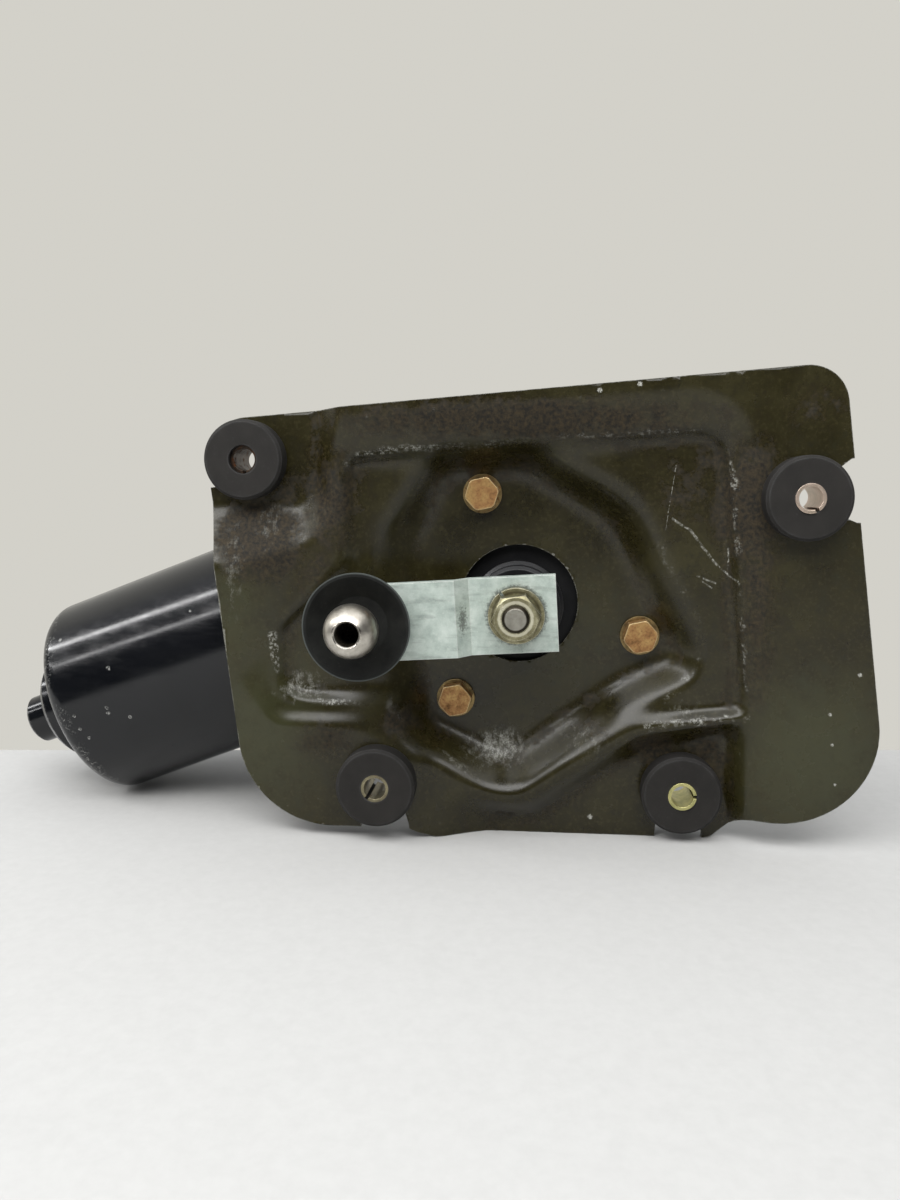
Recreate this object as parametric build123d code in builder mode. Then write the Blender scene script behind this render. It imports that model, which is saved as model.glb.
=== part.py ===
from build123d import *
import os
from math import acos, atan2, cos, degrees, pi, radians, sin, sqrt, tan

# Electric wiper motor on its pressed-steel mounting bracket, in millimetres.
# The origin is on the output shaft's axis, at the front face of the bracket's flange.
# +X points to the wide end of the bracket, +Y away from the crank side, +Z up.
# "Depth" is a distance behind the flange face, so depth is the same as Y.
# "Run" is a distance along the motor shaft, counted from its point nearest the output shaft.

# --- driving dimensions -----------------------------------------------------------------

# Bracket pressing
sheet = 1.8                     # steel thickness
band_depth = 2.5                # sloping band round the pressing
recess_depth = 6.0              # floor of the large recess
seat_depth = 15.0               # floor that the gear housing is bolted to
notch_depth = 10.0              # pocket of the lower edge
corner_depth = 8.0              # pocket of the upper left corner
recess_draft = 30.0             # slope of the recess wall from the pressing direction, degrees
wall_skin = 1.0                 # growth of the back of a steep wall
hub_hole_radius = 19.4
slot_flare_length = 4.0         # over which a mounting slot widens to its mouth

# Rubber grommets and their sleeves
grommet_radius = 12.75
grommet_flange = 7.0            # thickness of the rubber each side of the sheet
grommet_chamfer = 0.9
groove_radius = 7.3
sleeve_bore_radius = 3.5
sleeve_wall = 1.0
sleeve_proud = 0.4
sleeve_slit = 1.1

# Housing bolts
bolt_radius = 3.0
bolt_length = 18.0
bolt_head_flats = 10.0
bolt_head_height = 4.0
bolt_washer_radius = 6.35
bolt_washer_thickness = 1.2
bolt_clearance = 0.3
bolt_head_turn = 12.0           # of the hexagons, degrees
bolt_head_crown = 0.35          # of the chamfer's circle outside the flats
bolt_head_slope = 40.0          # of the chamfer, degrees
bolt_hole_margin = 1.0          # of the blind hole past the bolt's end

# Output shaft
journal_radius = 6.0
running_gap = 0.03              # radial clearance of a journal in its bush
face_gap = 0.1                  # axial clearance of turning faces
shaft_thread_radius = 4.0
shaft_thread_chamfer = 0.9
taper_large_radius = 5.4
taper_small_radius = 4.7
shaft_tip_depth = -23.0
bush_wall = 2.0
bush_length = 12.0
front_washer_width = 3.4
thrust_washer_width = 4.0

# Crank arm, its nut and its ball
arm_thickness = 4.0
arm_back_depth = -9.0
arm_width = 23.4
arm_joggle = 4.0
arm_joggle_start = 14.0
arm_heel = 12.3                 # metal behind the output shaft
crank_radius = 47.1             # output shaft to ball
arm_rest_angle = 183.4          # direction of the arm at rest, degrees above +X
washer_thickness = 2.2
washer_radius = 8.5
nut_flats = 13.0
nut_height = 6.3
nut_turn = 8.0                  # of the hexagon, degrees
nut_chamfer = 1.0
nut_crown = 0.97                # of the chamfer's circle, as a share of the flats
washer_bore_play = 0.3
washer_split = 1.0
washer_split_angle = 125.0
ball_radius = 8.0
ball_depth = -31.0
ball_bore_radius = 3.45
ball_bore_depth = 9.5
ball_neck_radius = 4.6
stud_rivet_radius = 6.2
stud_rivet_height = 2.2
stud_rivet_chamfer = 1.2
ball_lip = 0.5                  # chamfer of the bore's mouth
ball_bore_tip = 2.0             # length of the drill point
cup_radius = 16.2
cup_rim_depth = -24.0
cup_wall = 1.5
cup_flare = 6.0                 # from the floor's edge out to the rim
cup_rim_height = 0.8
cup_rim_width = 1.2

# Worm drive
module = 0.9
wheel_teeth = 30
worm_pitch_radius = 4.5
flank_angle = 20.0
tooth_play = 0.12               # each tooth is this much thinner than half a pitch
wheel_width = 11.0
thrust_washer_thickness = 1.2
worm_length = 16.0
wheel_chamfer = 0.3
cut_margin = 0.1                # of a tooth gap past each face of the wheel
park_gap_depth = 4.5            # notch of the park ring
park_gap_width = 5.0

# Motor axis
motor_depth = 48.0
motor_tilt = 21.0               # the motor shaft rises towards +X, degrees

# Motor can
can_radius = 36.6
can_wall = 1.8
can_mouth_run = -70.0
can_end_run = -167.0
can_end_round = 6.0
can_flange_radius = 39.0
can_flange_thickness = 2.0
can_boss_radius = 19.0
can_boss_run = -180.0
can_nose_radius = 9.0
can_nose_run = -192.5
ear_offset = 42.5
ear_radius = 6.0
can_screw_radius = 2.5
can_screw_length = 12.0
can_screw_flats = 8.0
can_screw_end_gap = 2.0         # between the screw's end and the bottom of its hole
can_boss_chamfer = 2.0
can_nose_chamfer = 1.0
can_inner_chamfer = 4.0
ear_overlap = 0.5               # of an ear into the can's wall

# Armature and field
rotor_shaft_radius = 4.0
stack_radius = 26.8
stack_length = 44.0
stack_centre_run = -126.0
slot_count = 12
slot_width = 5.0
slot_depth = 13.0
slot_opening = 2.4
stack_bore_radius = 5.0
commutator_radius = 12.0
commutator_length = 16.0
commutator_end_run = -79.0
commutator_bars = 12
bar_gap = 0.5
magnet_inner_radius = 27.5
magnet_length = 60.0
magnet_arc = 128.0
brush_width = 6.0
brush_length = 14.0
brush_plate_play = 2.0          # round the commutator
slot_rim = 1.5                  # steel between a winding slot and the stack's edge
slot_mouth_cut = 6.0
magnet_gap_arc = 6.0            # left free by a magnet clip, degrees
clip_setback = 10.0             # by which a clip is shorter than its magnets
clip_thickness = 1.2
rotor_end_chamfer = 0.5
rotor_step_rear = 8.0           # of the thicker shaft behind the stack
rotor_step_front = 2.0          # of the thicker shaft past the commutator

# Gear housing casting
casting_wall = 4.0
chamber_clearance = 2.6         # round the worm wheel
chamber_rear_margin = 3.5       # behind the worm tunnel
arm_setback = 13.5              # of the casting's arms behind the seat
hub_radius = 12.5
hub_nose_depth = 3.0
hub_ring_gap = 1.2              # between the seat and the ring that closes the hub hole
hub_ring_overlap = 3.5          # of the ring behind the seat
hub_ring_thickness = 4.0
tunnel_wall = 3.5
worm_clearance = 1.6
tunnel_end_run = 30.0
thrust_screw_stretch = 8.0      # threaded end of the tunnel
thrust_thread_radius = 5.0
boss_radius = 8.0
spigot_length = 6.0
bell_flange_thickness = 6.0
cover_sheet = 1.5
cover_screw_radius = 2.0
cover_screw_circle = 24.5
cover_screw_count = 4
cover_screw_length = 6.0
cover_screw_head_height = 2.6
cover_screw_head_draft = 8.0    # degrees
cover_screw_head_inset = 0.8    # inside its boss
cross_slot_length = 4.6
cross_slot_width = 0.9
cross_slot_depth = 1.4
screw_boss_length = 12.0
arm_root_inset = 4.0            # of an arm's root inside the chamber's edge
hub_nose_chamfer = 0.8
hub_draft = 2.0                 # growth of the hub's radius to the arms, and again to the chamber
hub_mouth_width = 4.0           # of the gap round the shaft in front of its bush
chamber_chamfer = 2.0
bell_flange_lip = 4.0
bell_throat_step = 1.0
bell_throat_length = 4.0
bell_bore_radius = 28.0
bell_bore_step = 1.0
bell_bore_taper = 6.0
tunnel_play = 3.0               # round the motor's front bush
tunnel_chamfer = 1.0
thrust_screw_chamfer = 0.6
thrust_screw_proud = 7.0
driver_slot_width = 1.4
driver_slot_depth = 1.6
lock_nut_flats = 16.0
lock_nut_height = 4.5
socket_round = 2.0
socket_inner_round = 1.0
contact_root = 6.0              # park contacts: from the middle of a finger to its root
contact_tip = 5.0
contact_pad = 1.0

# --- derived dimensions -----------------------------------------------------------------

wheel_pitch_radius = module * wheel_teeth / 2
wheel_tip_radius = wheel_pitch_radius + module
wheel_root_radius = wheel_pitch_radius - 1.2 * module
worm_tip_radius = worm_pitch_radius + module
worm_root_radius = worm_pitch_radius - 1.2 * module
centre_distance = wheel_pitch_radius + worm_pitch_radius
worm_lead = pi * module

chamber_radius = wheel_tip_radius + chamber_clearance
chamber_outer_radius = chamber_radius + casting_wall
tunnel_radius = worm_tip_radius + worm_clearance
tunnel_outer_radius = tunnel_radius + tunnel_wall
bush_outer_radius = journal_radius + bush_wall
wheel_front_depth = motor_depth - wheel_width / 2
wheel_rear_depth = motor_depth + wheel_width / 2
chamber_front_depth = wheel_front_depth - thrust_washer_thickness - face_gap
chamber_rear_depth = motor_depth + tunnel_outer_radius + chamber_rear_margin
arm_front_depth = arm_back_depth - arm_thickness
nut_back_depth = arm_front_depth - washer_thickness
nut_front_depth = nut_back_depth - nut_height
stud_back_depth = arm_back_depth - arm_joggle
stud_front_depth = arm_front_depth - arm_joggle
seat_back_depth = seat_depth + sheet
can_inner_radius = can_radius - can_wall
sleeve_radius = sleeve_bore_radius + sleeve_wall

# Bolt centres on the seat
bolt_centres = [(-12.0, 36.0), (-20.7, -32.1), (39.6, -10.0)]

# The grommets: name, centre, depth of the sheet, slot direction, widening of the slot's mouth on
# each side, direction of the sleeve's slit, and how far the sleeve is pushed back
grommets = [
    ("top_left", (-87.9, 46.9), corner_depth, 186.8, 0.1, 270.0, 2.5),
    ("right", (86.1, 35.0), 0.0, 8.2, 2.4, 300.0, 0.0),
    ("bottom_left", (-44.9, -57.5), 0.0, 278.0, 0.6, 230.0, 0.5),
    ("bottom_right", (53.2, -60.3), notch_depth, 270.0, 0.3, 0.0, 0.0),
]

# --- planes and axes --------------------------------------------------------------------

tilt = radians(motor_tilt)
along_motor = Vector(cos(tilt), 0, sin(tilt))
above_motor = Vector(-sin(tilt), 0, cos(tilt))
motor_foot = above_motor * centre_distance + Vector(0, motor_depth, 0)
motor_axis = Axis(motor_foot, along_motor)
motor_section = Plane(origin=motor_foot, x_dir=along_motor, z_dir=(0, -1, 0))
crank_section = Plane.YZ        # sketches here are drawn as (depth, radius)
arm_direction = Vector(cos(radians(arm_rest_angle)), 0, sin(radians(arm_rest_angle)))
ball_axis_foot = arm_direction * crank_radius
ball_section = Plane(origin=ball_axis_foot, x_dir=(0, 1, 0), z_dir=(1, 0, 0))
ball_axis = Axis(ball_axis_foot, (0, 1, 0))


def facing_front(depth):
    """Plane at a depth, seen from the crank side, with X and Z as its axes."""
    return Plane.XZ.offset(-depth)


def across_motor(run):
    """Plane across the motor shaft, with its X away from the crank side and its Y upwards."""
    return Plane(origin=motor_foot + along_motor * run, x_dir=(0, 1, 0), z_dir=along_motor)


def outline(*points):
    """Straight-sided face in the sketch being drawn."""
    Polygon(*points, align=None)


def rounded_outline(corners):
    """Face whose corners are given as (x, z, radius), in the sketch being drawn."""
    points = [(x, z) for x, z, _ in corners]
    with BuildLine() as edge:
        FilletPolyline(*points, radius=[r for _, _, r in corners], close=True)
    make_face(edge.line.edges())


def band(near, far, inner, outer):
    """Half section of a ring between two depths or runs, in the sketch being drawn."""
    outline((near, inner), (far, inner), (far, outer), (near, outer))


def finish(part, name):
    """Label a finished piece and write it."""
    part.label = name
    export_step(part, f"parts/{name}.step")


os.makedirs("parts", exist_ok=True)

# --- mounting bracket -------------------------------------------------------------------
# One pressing: a flat flange, a sloping band inside it, a recess with a lobe under the ball's
# sweep, the deep seat of the gear housing, and pockets that lower two of the mounting slots.

plate_corners = [
    (-103.4, 59.4, 14), (96.2, 75.2, 12), (116.3, -67.2, 29), (73.5, -67.2, 6),
    (63, -76.4, 6), (-27, -76.4, 6), (-35, -72.8, 6), (-88, -72.8, 31),
]
band_outer = [
    (-91, 57.5, 8), (70.5, 69.2, 20), (82.5, -95, 2), (-30.5, -95, 2),
    (-32, -51, 7), (-52, -38.5, 7), (-80, -38.5, 9), (-91.5, -24, 8),
]
band_inner = [
    (-61, 49.5, 6), (64, 56.8, 10), (76, -95, 1), (-27, -95, 1),
    (-29, -47, 6), (-42, -34.6, 8), (-78.5, -34.2, 8), (-81.5, -15, 7),
]
recess_floor = [
    (-53.2, 46.2, 4), (61.6, 54.2, 8), (70.3, -31.6, 2), (36.5, -35.2, 3),
    (-3.5, -58.5, 9), (-39.5, -29.4, 10), (-76.2, -29.3, 8), (-77, -9, 8),
    (-53, 13, 6),
]
seat_rim = [
    (-31, 51.5, 9), (10, 54, 16), (42, 37.5, 28), (68, -20.5, 10), (31, -41, 20),
    (-3.3, -66.5, 14), (-37, -42.5, 14), (-54, -12, 20), (-53.5, 22, 18),
]
seat_floor = [
    (-23, 45, 9), (1, 44.5, 12), (30, 27.5, 25), (52, -18, 7), (33.7, -25.2, 14),
    (-3, -51.5, 10), (-29.5, -43, 8), (-34, -10, 20), (-33, 22, 18),
]
notch_rim = [
    (74.0, -33.2, 3), (36.5, -38.6, 5), (0, -62.2, 10), (-29.5, -58, 8),
    (-30.5, -95, 2), (75.5, -95, 2),
]
notch_floor = [
    (67.5, -40.6, 2), (42, -45.5, 8), (7, -70.5, 12), (-10, -71.5, 8),
    (-11.5, -95, 2), (70.5, -95, 2),
]
corner_rim = [
    (-125, 12, 1), (-66, 14, 8), (-56.8, 26, 8), (-55.5, 100, 1), (-125, 100, 1),
]
corner_floor = [
    (-125, 32, 1), (-71, 32, 5), (-65.5, 38, 5), (-63, 100, 1), (-125, 100, 1),
]


def skin_offset(draft):
    """Growth of a pocket's outline that keeps the sheet's thickness in its drafted wall."""
    return sheet * (1 - sin(radians(draft))) / cos(radians(draft))


def drafted_pocket(corners, depth, draft, grow):
    """Space of a pocket with one draft all round, from its floor to the flange face."""
    with BuildPart() as pocket:
        with BuildSketch(facing_front(depth)):
            rounded_outline(corners)
            if grow:
                offset(amount=grow, kind=Kind.ARC)
        extrude(amount=depth, taper=-draft)
    return pocket.part


def lofted_pocket(rim, floor, rim_depth, floor_depth, grow=0):
    """Space of a pocket whose rim and floor are drawn one by one."""
    with BuildPart() as pocket:
        for corners, depth in ((floor, floor_depth), (rim, rim_depth)):
            with BuildSketch(facing_front(depth)):
                rounded_outline(corners)
                if grow:
                    offset(amount=grow, kind=Kind.ARC)
        loft(ruled=True)
    return pocket.part


def pressed_pockets(thickness):
    """Spaces of all the pockets, grown by a sheet's thickness at the back."""
    grow = wall_skin if thickness else 0
    recess_grow = skin_offset(recess_draft) if thickness else 0
    return [
        lofted_pocket(band_outer, band_inner, thickness, band_depth + thickness),
        lofted_pocket(notch_rim, notch_floor, thickness, notch_depth + thickness, grow),
        lofted_pocket(corner_rim, corner_floor, thickness, corner_depth + thickness),
        drafted_pocket(recess_floor, recess_depth + thickness, recess_draft, recess_grow),
        lofted_pocket(seat_rim, seat_floor, thickness, seat_depth + thickness, grow),
    ]


pocket_backs = pressed_pockets(sheet)
pocket_fronts = pressed_pockets(0)

with BuildPart() as mounting_bracket:
    with BuildSketch(facing_front(sheet)):
        rounded_outline(plate_corners)
    extrude(amount=sheet)
    add(pocket_backs)
    add(pocket_fronts, mode=Mode.SUBTRACT)
    with BuildSketch(facing_front(seat_back_depth)):
        rounded_outline(plate_corners)
    extrude(amount=seat_back_depth, mode=Mode.INTERSECT)
    with BuildSketch(facing_front(seat_back_depth)):
        Circle(hub_hole_radius)
        with Locations(*bolt_centres):
            Circle(bolt_radius + bolt_clearance)
    extrude(amount=seat_back_depth, mode=Mode.SUBTRACT)
    slot_cut = 6 * sheet
    for _, (x, z), depth, direction, flare, _, _ in grommets:
        slot_plane = Plane(
            origin=(x, depth + slot_cut / 2, z),
            x_dir=(cos(radians(direction)), 0, sin(radians(direction))),
            z_dir=(0, -1, 0),
        )
        reach = 2 * grommet_radius
        half_mouth = groove_radius + flare
        flare_start = grommet_radius - slot_flare_length / 2
        flare_end = grommet_radius + slot_flare_length / 2
        with BuildSketch(slot_plane):
            Circle(groove_radius)
            outline(
                (0, -groove_radius), (flare_start, -groove_radius),
                (flare_end, -half_mouth), (reach, -half_mouth),
                (reach, half_mouth), (flare_end, half_mouth),
                (flare_start, groove_radius), (0, groove_radius),
            )
        extrude(amount=slot_cut, mode=Mode.SUBTRACT)
finish(mounting_bracket.part, "mounting_bracket")

# --- grommets and sleeves ---------------------------------------------------------------

for place, (x, z), depth, _, _, slit, setback in grommets:
    face = depth - grommet_flange
    back = depth + sheet + grommet_flange
    groove_ends = (depth, depth + sheet)
    section = Plane(origin=(x, 0, z), x_dir=(0, 1, 0), z_dir=(1, 0, 0))
    spin = Axis((x, 0, z), (0, 1, 0))
    with BuildPart() as grommet:
        with BuildSketch(section):
            outline(
                (face, sleeve_radius), (face, grommet_radius), (groove_ends[0], grommet_radius),
                (groove_ends[0], groove_radius), (groove_ends[1], groove_radius),
                (groove_ends[1], grommet_radius), (back, grommet_radius), (back, sleeve_radius),
            )
        revolve(axis=spin)
        rims = grommet.edges().filter_by(GeomType.CIRCLE).filter_by(
            lambda e: abs(e.radius - grommet_radius) < 0.01)
        chamfer(rims.group_by(Axis.Y)[0] + rims.group_by(Axis.Y)[-1], grommet_chamfer)
    finish(grommet.part, f"grommet_{place}")

    sleeve_front = face - sleeve_proud + setback
    sleeve_length = back - face + 2 * sleeve_proud
    with BuildPart() as sleeve:
        slit_side = (cos(radians(slit)), 0, sin(radians(slit)))
        with BuildSketch(Plane(origin=(x, sleeve_front, z), x_dir=slit_side, z_dir=(0, -1, 0))):
            Circle(sleeve_radius)
            Circle(sleeve_bore_radius, mode=Mode.SUBTRACT)
            with Locations((sleeve_radius, 0)):
                Rectangle(2 * sleeve_radius, sleeve_slit, mode=Mode.SUBTRACT)
        extrude(amount=-sleeve_length)
    finish(sleeve.part, f"sleeve_{place}")

# --- housing bolts ----------------------------------------------------------------------

washer_front = seat_depth - bolt_washer_thickness

with BuildPart() as housing_bolts:
    with BuildSketch(facing_front(washer_front)):
        with Locations(*bolt_centres):
            RegularPolygon(bolt_head_flats / 2, 6, major_radius=False, rotation=bolt_head_turn)
    extrude(amount=bolt_head_height)
    with BuildSketch(facing_front(washer_front - bolt_head_height)):
        with Locations(*bolt_centres):
            Circle(bolt_head_flats / 2 + bolt_head_crown)
    extrude(amount=-bolt_head_height, taper=-bolt_head_slope, mode=Mode.INTERSECT)
    with BuildSketch(facing_front(washer_front)):
        with Locations(*bolt_centres):
            Circle(bolt_radius)
    extrude(amount=-bolt_length)
finish(housing_bolts.part, "housing_bolts")

with BuildPart() as bolt_washers:
    with BuildSketch(facing_front(seat_depth)):
        with Locations(*bolt_centres):
            Circle(bolt_washer_radius)
            Circle(bolt_radius + bolt_clearance, mode=Mode.SUBTRACT)
    extrude(amount=bolt_washer_thickness)
finish(bolt_washers.part, "bolt_washers")

# --- gear housing casting ---------------------------------------------------------------
# A hub that carries the output shaft, a round gear chamber open at the rear, a tunnel for the
# worm, a bell that closes the motor can, and three arms to the bosses of the housing bolts.

arm_front = seat_back_depth + arm_setback
arm_rear = chamber_front_depth - 0.8
bell_face_run = can_mouth_run + bell_flange_thickness
bell_throat_run = bell_face_run + 16
front_bush_run = -52.0
motor_bush_length = 8.0
thrust_bush_end = tunnel_end_run - thrust_screw_stretch
thrust_bush_run = thrust_bush_end - motor_bush_length
motor_bush_wall = 3.0
motor_bush_radius = rotor_shaft_radius + motor_bush_wall
front_bush_depth = hub_nose_depth + 4.0
rear_bush_depth = chamber_front_depth - bush_length
screw_boss_radius = cover_screw_radius + 2.6
screw_angles = [motor_tilt + 45 + n * 360 / cover_screw_count for n in range(cover_screw_count)]
screw_centres = [
    (cover_screw_circle * cos(radians(a)), cover_screw_circle * sin(radians(a)))
    for a in screw_angles
]
ear_centres = [(0, ear_offset), (0, -ear_offset)]
seal_section = 1.6
seal_squeeze = 0.2
seal_groove_run = can_mouth_run - (spigot_length + seal_section) / 2
hub_ring_front = seat_back_depth + hub_ring_gap
hub_ring_radius = hub_hole_radius + hub_ring_overlap


def housing_arm(centre):
    """Arm of the casting from the gear chamber to one housing bolt."""
    x, z = centre
    with BuildPart() as arm:
        with BuildSketch(facing_front(arm_rear)):
            Circle(chamber_outer_radius - arm_root_inset)
            with Locations((x, z)):
                Circle(boss_radius)
            make_hull()
        extrude(amount=arm_rear - arm_front)
        with BuildSketch(facing_front(arm_rear)):
            with Locations((x, z)):
                Circle(boss_radius)
        extrude(amount=arm_rear - seat_back_depth)
    return arm.part


housing_arms = [housing_arm(centre) for centre in bolt_centres]

with BuildPart() as gear_housing:
    with BuildSketch(crank_section):
        outline(
            (hub_nose_depth, 0), (hub_nose_depth, hub_radius - hub_nose_chamfer),
            (hub_nose_depth + hub_nose_chamfer, hub_radius), (hub_ring_front, hub_radius),
            (hub_ring_front, hub_ring_radius),
            (hub_ring_front + hub_ring_thickness, hub_ring_radius),
            (arm_front, hub_radius + hub_draft),
            (chamber_front_depth - casting_wall, hub_radius + 2 * hub_draft),
            (chamber_front_depth - casting_wall, chamber_outer_radius - chamber_chamfer),
            (chamber_front_depth - casting_wall + chamber_chamfer, chamber_outer_radius),
            (chamber_rear_depth, chamber_outer_radius), (chamber_rear_depth, 0),
        )
    revolve(axis=Axis.Y)
    add(housing_arms)
    with BuildSketch(motor_section):
        outline(
            (can_mouth_run - spigot_length, 0), (can_mouth_run - spigot_length, can_inner_radius),
            (seal_groove_run, can_inner_radius), (seal_groove_run, can_inner_radius - seal_section),
            (seal_groove_run + seal_section, can_inner_radius - seal_section),
            (seal_groove_run + seal_section, can_inner_radius),
            (can_mouth_run, can_inner_radius), (can_mouth_run, can_flange_radius),
            (bell_face_run, can_flange_radius),
            (bell_face_run, can_flange_radius - bell_flange_lip),
            (bell_throat_run, tunnel_outer_radius + bell_throat_step),
            (bell_throat_run + bell_throat_length, tunnel_outer_radius),
            (tunnel_end_run - tunnel_chamfer, tunnel_outer_radius),
            (tunnel_end_run, tunnel_outer_radius - tunnel_chamfer),
            (tunnel_end_run, 0),
        )
    revolve(axis=motor_axis)
    with BuildSketch(across_motor(can_mouth_run)):
        with Locations(*ear_centres):
            Circle(ear_radius)
    extrude(amount=bell_flange_thickness)
    with BuildSketch(facing_front(chamber_rear_depth)):
        with Locations(*screw_centres):
            Circle(screw_boss_radius)
    extrude(amount=screw_boss_length)
    with BuildSketch(crank_section):
        outline(
            (hub_nose_depth, 0), (hub_nose_depth, journal_radius + hub_mouth_width),
            (front_bush_depth, journal_radius + hub_mouth_width),
            (front_bush_depth, bush_outer_radius),
            (chamber_front_depth, bush_outer_radius), (chamber_front_depth, chamber_radius),
            (chamber_rear_depth, chamber_radius), (chamber_rear_depth, 0),
        )
    revolve(axis=Axis.Y, mode=Mode.SUBTRACT)
    with BuildSketch(motor_section):
        outline(
            (can_mouth_run - spigot_length, 0), (can_mouth_run - spigot_length, bell_bore_radius),
            (can_mouth_run + bell_bore_step, bell_bore_radius),
            (bell_throat_run - bell_bore_taper, motor_bush_radius + tunnel_play),
            (front_bush_run, motor_bush_radius + tunnel_play),
            (front_bush_run, motor_bush_radius),
            (thrust_bush_end, motor_bush_radius), (thrust_bush_end, thrust_thread_radius),
            (tunnel_end_run, thrust_thread_radius), (tunnel_end_run, 0),
        )
    revolve(axis=motor_axis, mode=Mode.SUBTRACT)
    with BuildSketch(facing_front(seat_back_depth)):
        with Locations(*bolt_centres):
            Circle(bolt_radius)
    extrude(amount=-(bolt_length + bolt_hole_margin - sheet), mode=Mode.SUBTRACT)
    with BuildSketch(facing_front(chamber_rear_depth)):
        with Locations(*screw_centres):
            Circle(cover_screw_radius)
    extrude(amount=cover_screw_length, mode=Mode.SUBTRACT)
    with BuildSketch(across_motor(can_mouth_run)):
        with Locations(*ear_centres):
            Circle(can_screw_radius)
    extrude(amount=bell_flange_thickness, mode=Mode.SUBTRACT)
finish(gear_housing.part, "gear_housing")

# --- output bushes, seal and shaft ------------------------------------------------------

for name, near in (("output_bush_front", front_bush_depth), ("output_bush_rear", rear_bush_depth)):
    with BuildPart() as output_bush:
        with BuildSketch(crank_section):
            band(near, near + bush_length, journal_radius, bush_outer_radius)
        revolve(axis=Axis.Y)
    finish(output_bush.part, name)

seal_radius = hub_radius + 1.0
seal_bead = 1.1
seal_front_depth = hub_nose_depth - 2.0
seal_rear_depth = hub_nose_depth + 7.0
seal_lip_gap = 0.08

with BuildPart() as shaft_seal:
    with BuildSketch(crank_section):
        outline(
            (seal_front_depth, journal_radius + seal_lip_gap), (seal_front_depth, seal_radius - 1),
            (seal_front_depth + 1, seal_radius), (seal_rear_depth - 3, seal_radius),
            (seal_rear_depth - 2, seal_radius + seal_bead),
            (seal_rear_depth, seal_radius + seal_bead),
            (seal_rear_depth, hub_radius), (hub_nose_depth + 0.8, hub_radius),
            (hub_nose_depth, hub_radius - 0.8), (hub_nose_depth, journal_radius + seal_lip_gap),
        )
    revolve(axis=Axis.Y)
finish(shaft_seal.part, "shaft_seal")

front_washer_thickness = 1.1
circlip_thickness = 1.0
circlip_depth = front_bush_depth - face_gap - front_washer_thickness - circlip_thickness
shaft_turned_radius = journal_radius - running_gap
wheel_seat_radius = journal_radius - 0.6
shaft_rear_depth = wheel_rear_depth + 3.0
rear_circlip_depth = wheel_rear_depth + face_gap
circlip_radius = journal_radius + 1.6
circlip_gap = 3.4
groove_floor = 4.6
taper_relief = 0.4
taper_slope = (taper_large_radius - taper_small_radius) / arm_thickness
taper_end_radius = taper_small_radius + taper_slope * taper_relief

with BuildPart() as output_shaft:
    with BuildSketch(crank_section):
        outline(
            (shaft_tip_depth, 0), (shaft_tip_depth, shaft_thread_radius - shaft_thread_chamfer),
            (shaft_tip_depth + shaft_thread_chamfer, shaft_thread_radius),
            (arm_front_depth + taper_relief, shaft_thread_radius),
            (arm_front_depth + taper_relief, taper_end_radius),
            (arm_back_depth, taper_large_radius),
            (arm_back_depth, shaft_turned_radius), (circlip_depth, shaft_turned_radius),
            (circlip_depth, groove_floor), (circlip_depth + circlip_thickness, groove_floor),
            (circlip_depth + circlip_thickness, shaft_turned_radius),
            (wheel_front_depth - thrust_washer_thickness, shaft_turned_radius),
            (wheel_front_depth - thrust_washer_thickness, wheel_seat_radius),
            (rear_circlip_depth, wheel_seat_radius), (rear_circlip_depth, groove_floor),
            (rear_circlip_depth + circlip_thickness, groove_floor),
            (rear_circlip_depth + circlip_thickness, wheel_seat_radius),
            (shaft_rear_depth - 0.5, wheel_seat_radius), (shaft_rear_depth, wheel_seat_radius - 0.5),
            (shaft_rear_depth, 0),
        )
    revolve(axis=Axis.Y)
finish(output_shaft.part, "output_shaft")

with BuildPart() as shaft_circlips:
    for depth in (circlip_depth, rear_circlip_depth):
        with BuildSketch(facing_front(depth)):
            Circle(circlip_radius)
            Circle(groove_floor, mode=Mode.SUBTRACT)
            with Locations((0, journal_radius)):
                Rectangle(circlip_gap, journal_radius, mode=Mode.SUBTRACT)
        extrude(amount=-circlip_thickness)
finish(shaft_circlips.part, "shaft_circlips")

with BuildPart() as front_washer:
    with BuildSketch(crank_section):
        band(circlip_depth + circlip_thickness, front_bush_depth - face_gap,
             shaft_turned_radius, journal_radius + front_washer_width)
    revolve(axis=Axis.Y)
finish(front_washer.part, "front_washer")

with BuildPart() as thrust_washer:
    with BuildSketch(crank_section):
        band(wheel_front_depth - thrust_washer_thickness, wheel_front_depth, wheel_seat_radius,
             journal_radius + thrust_washer_width)
    revolve(axis=Axis.Y)
finish(thrust_washer.part, "thrust_washer")

# --- worm wheel -------------------------------------------------------------------------
# Involute teeth with the helix of the worm's lead. A gap faces the motor shaft at rest.

pressure = radians(flank_angle)
base_radius = wheel_pitch_radius * cos(pressure)
lead_angle = atan2(module, 2 * worm_pitch_radius)
pitch_half_tooth = (pi * module / 2 - tooth_play) / 2 / wheel_pitch_radius
gap_overcut = 0.5
gap_direction = radians(90 + motor_tilt)
wheel_twist = wheel_width * tan(lead_angle) / wheel_pitch_radius


def involute(angle):
    return tan(angle) - angle


def half_gap(radius):
    """Half of the angle between two teeth at a radius of the worm wheel."""
    angle = acos(min(1, base_radius / radius))
    return pi / wheel_teeth - pitch_half_tooth - involute(pressure) + involute(angle)


def gap_section(direction):
    """Outline of the space between two teeth, about a direction from the wheel's centre."""
    radii = [wheel_root_radius, base_radius, wheel_pitch_radius, wheel_tip_radius]
    flank = [(r, half_gap(r)) for r in radii]
    flank.append((wheel_tip_radius + gap_overcut, flank[-1][1]))
    left = [(r * cos(direction + a), r * sin(direction + a)) for r, a in flank]
    right = [(r * cos(direction - a), r * sin(direction - a)) for r, a in flank]
    return left + right[::-1]


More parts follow.
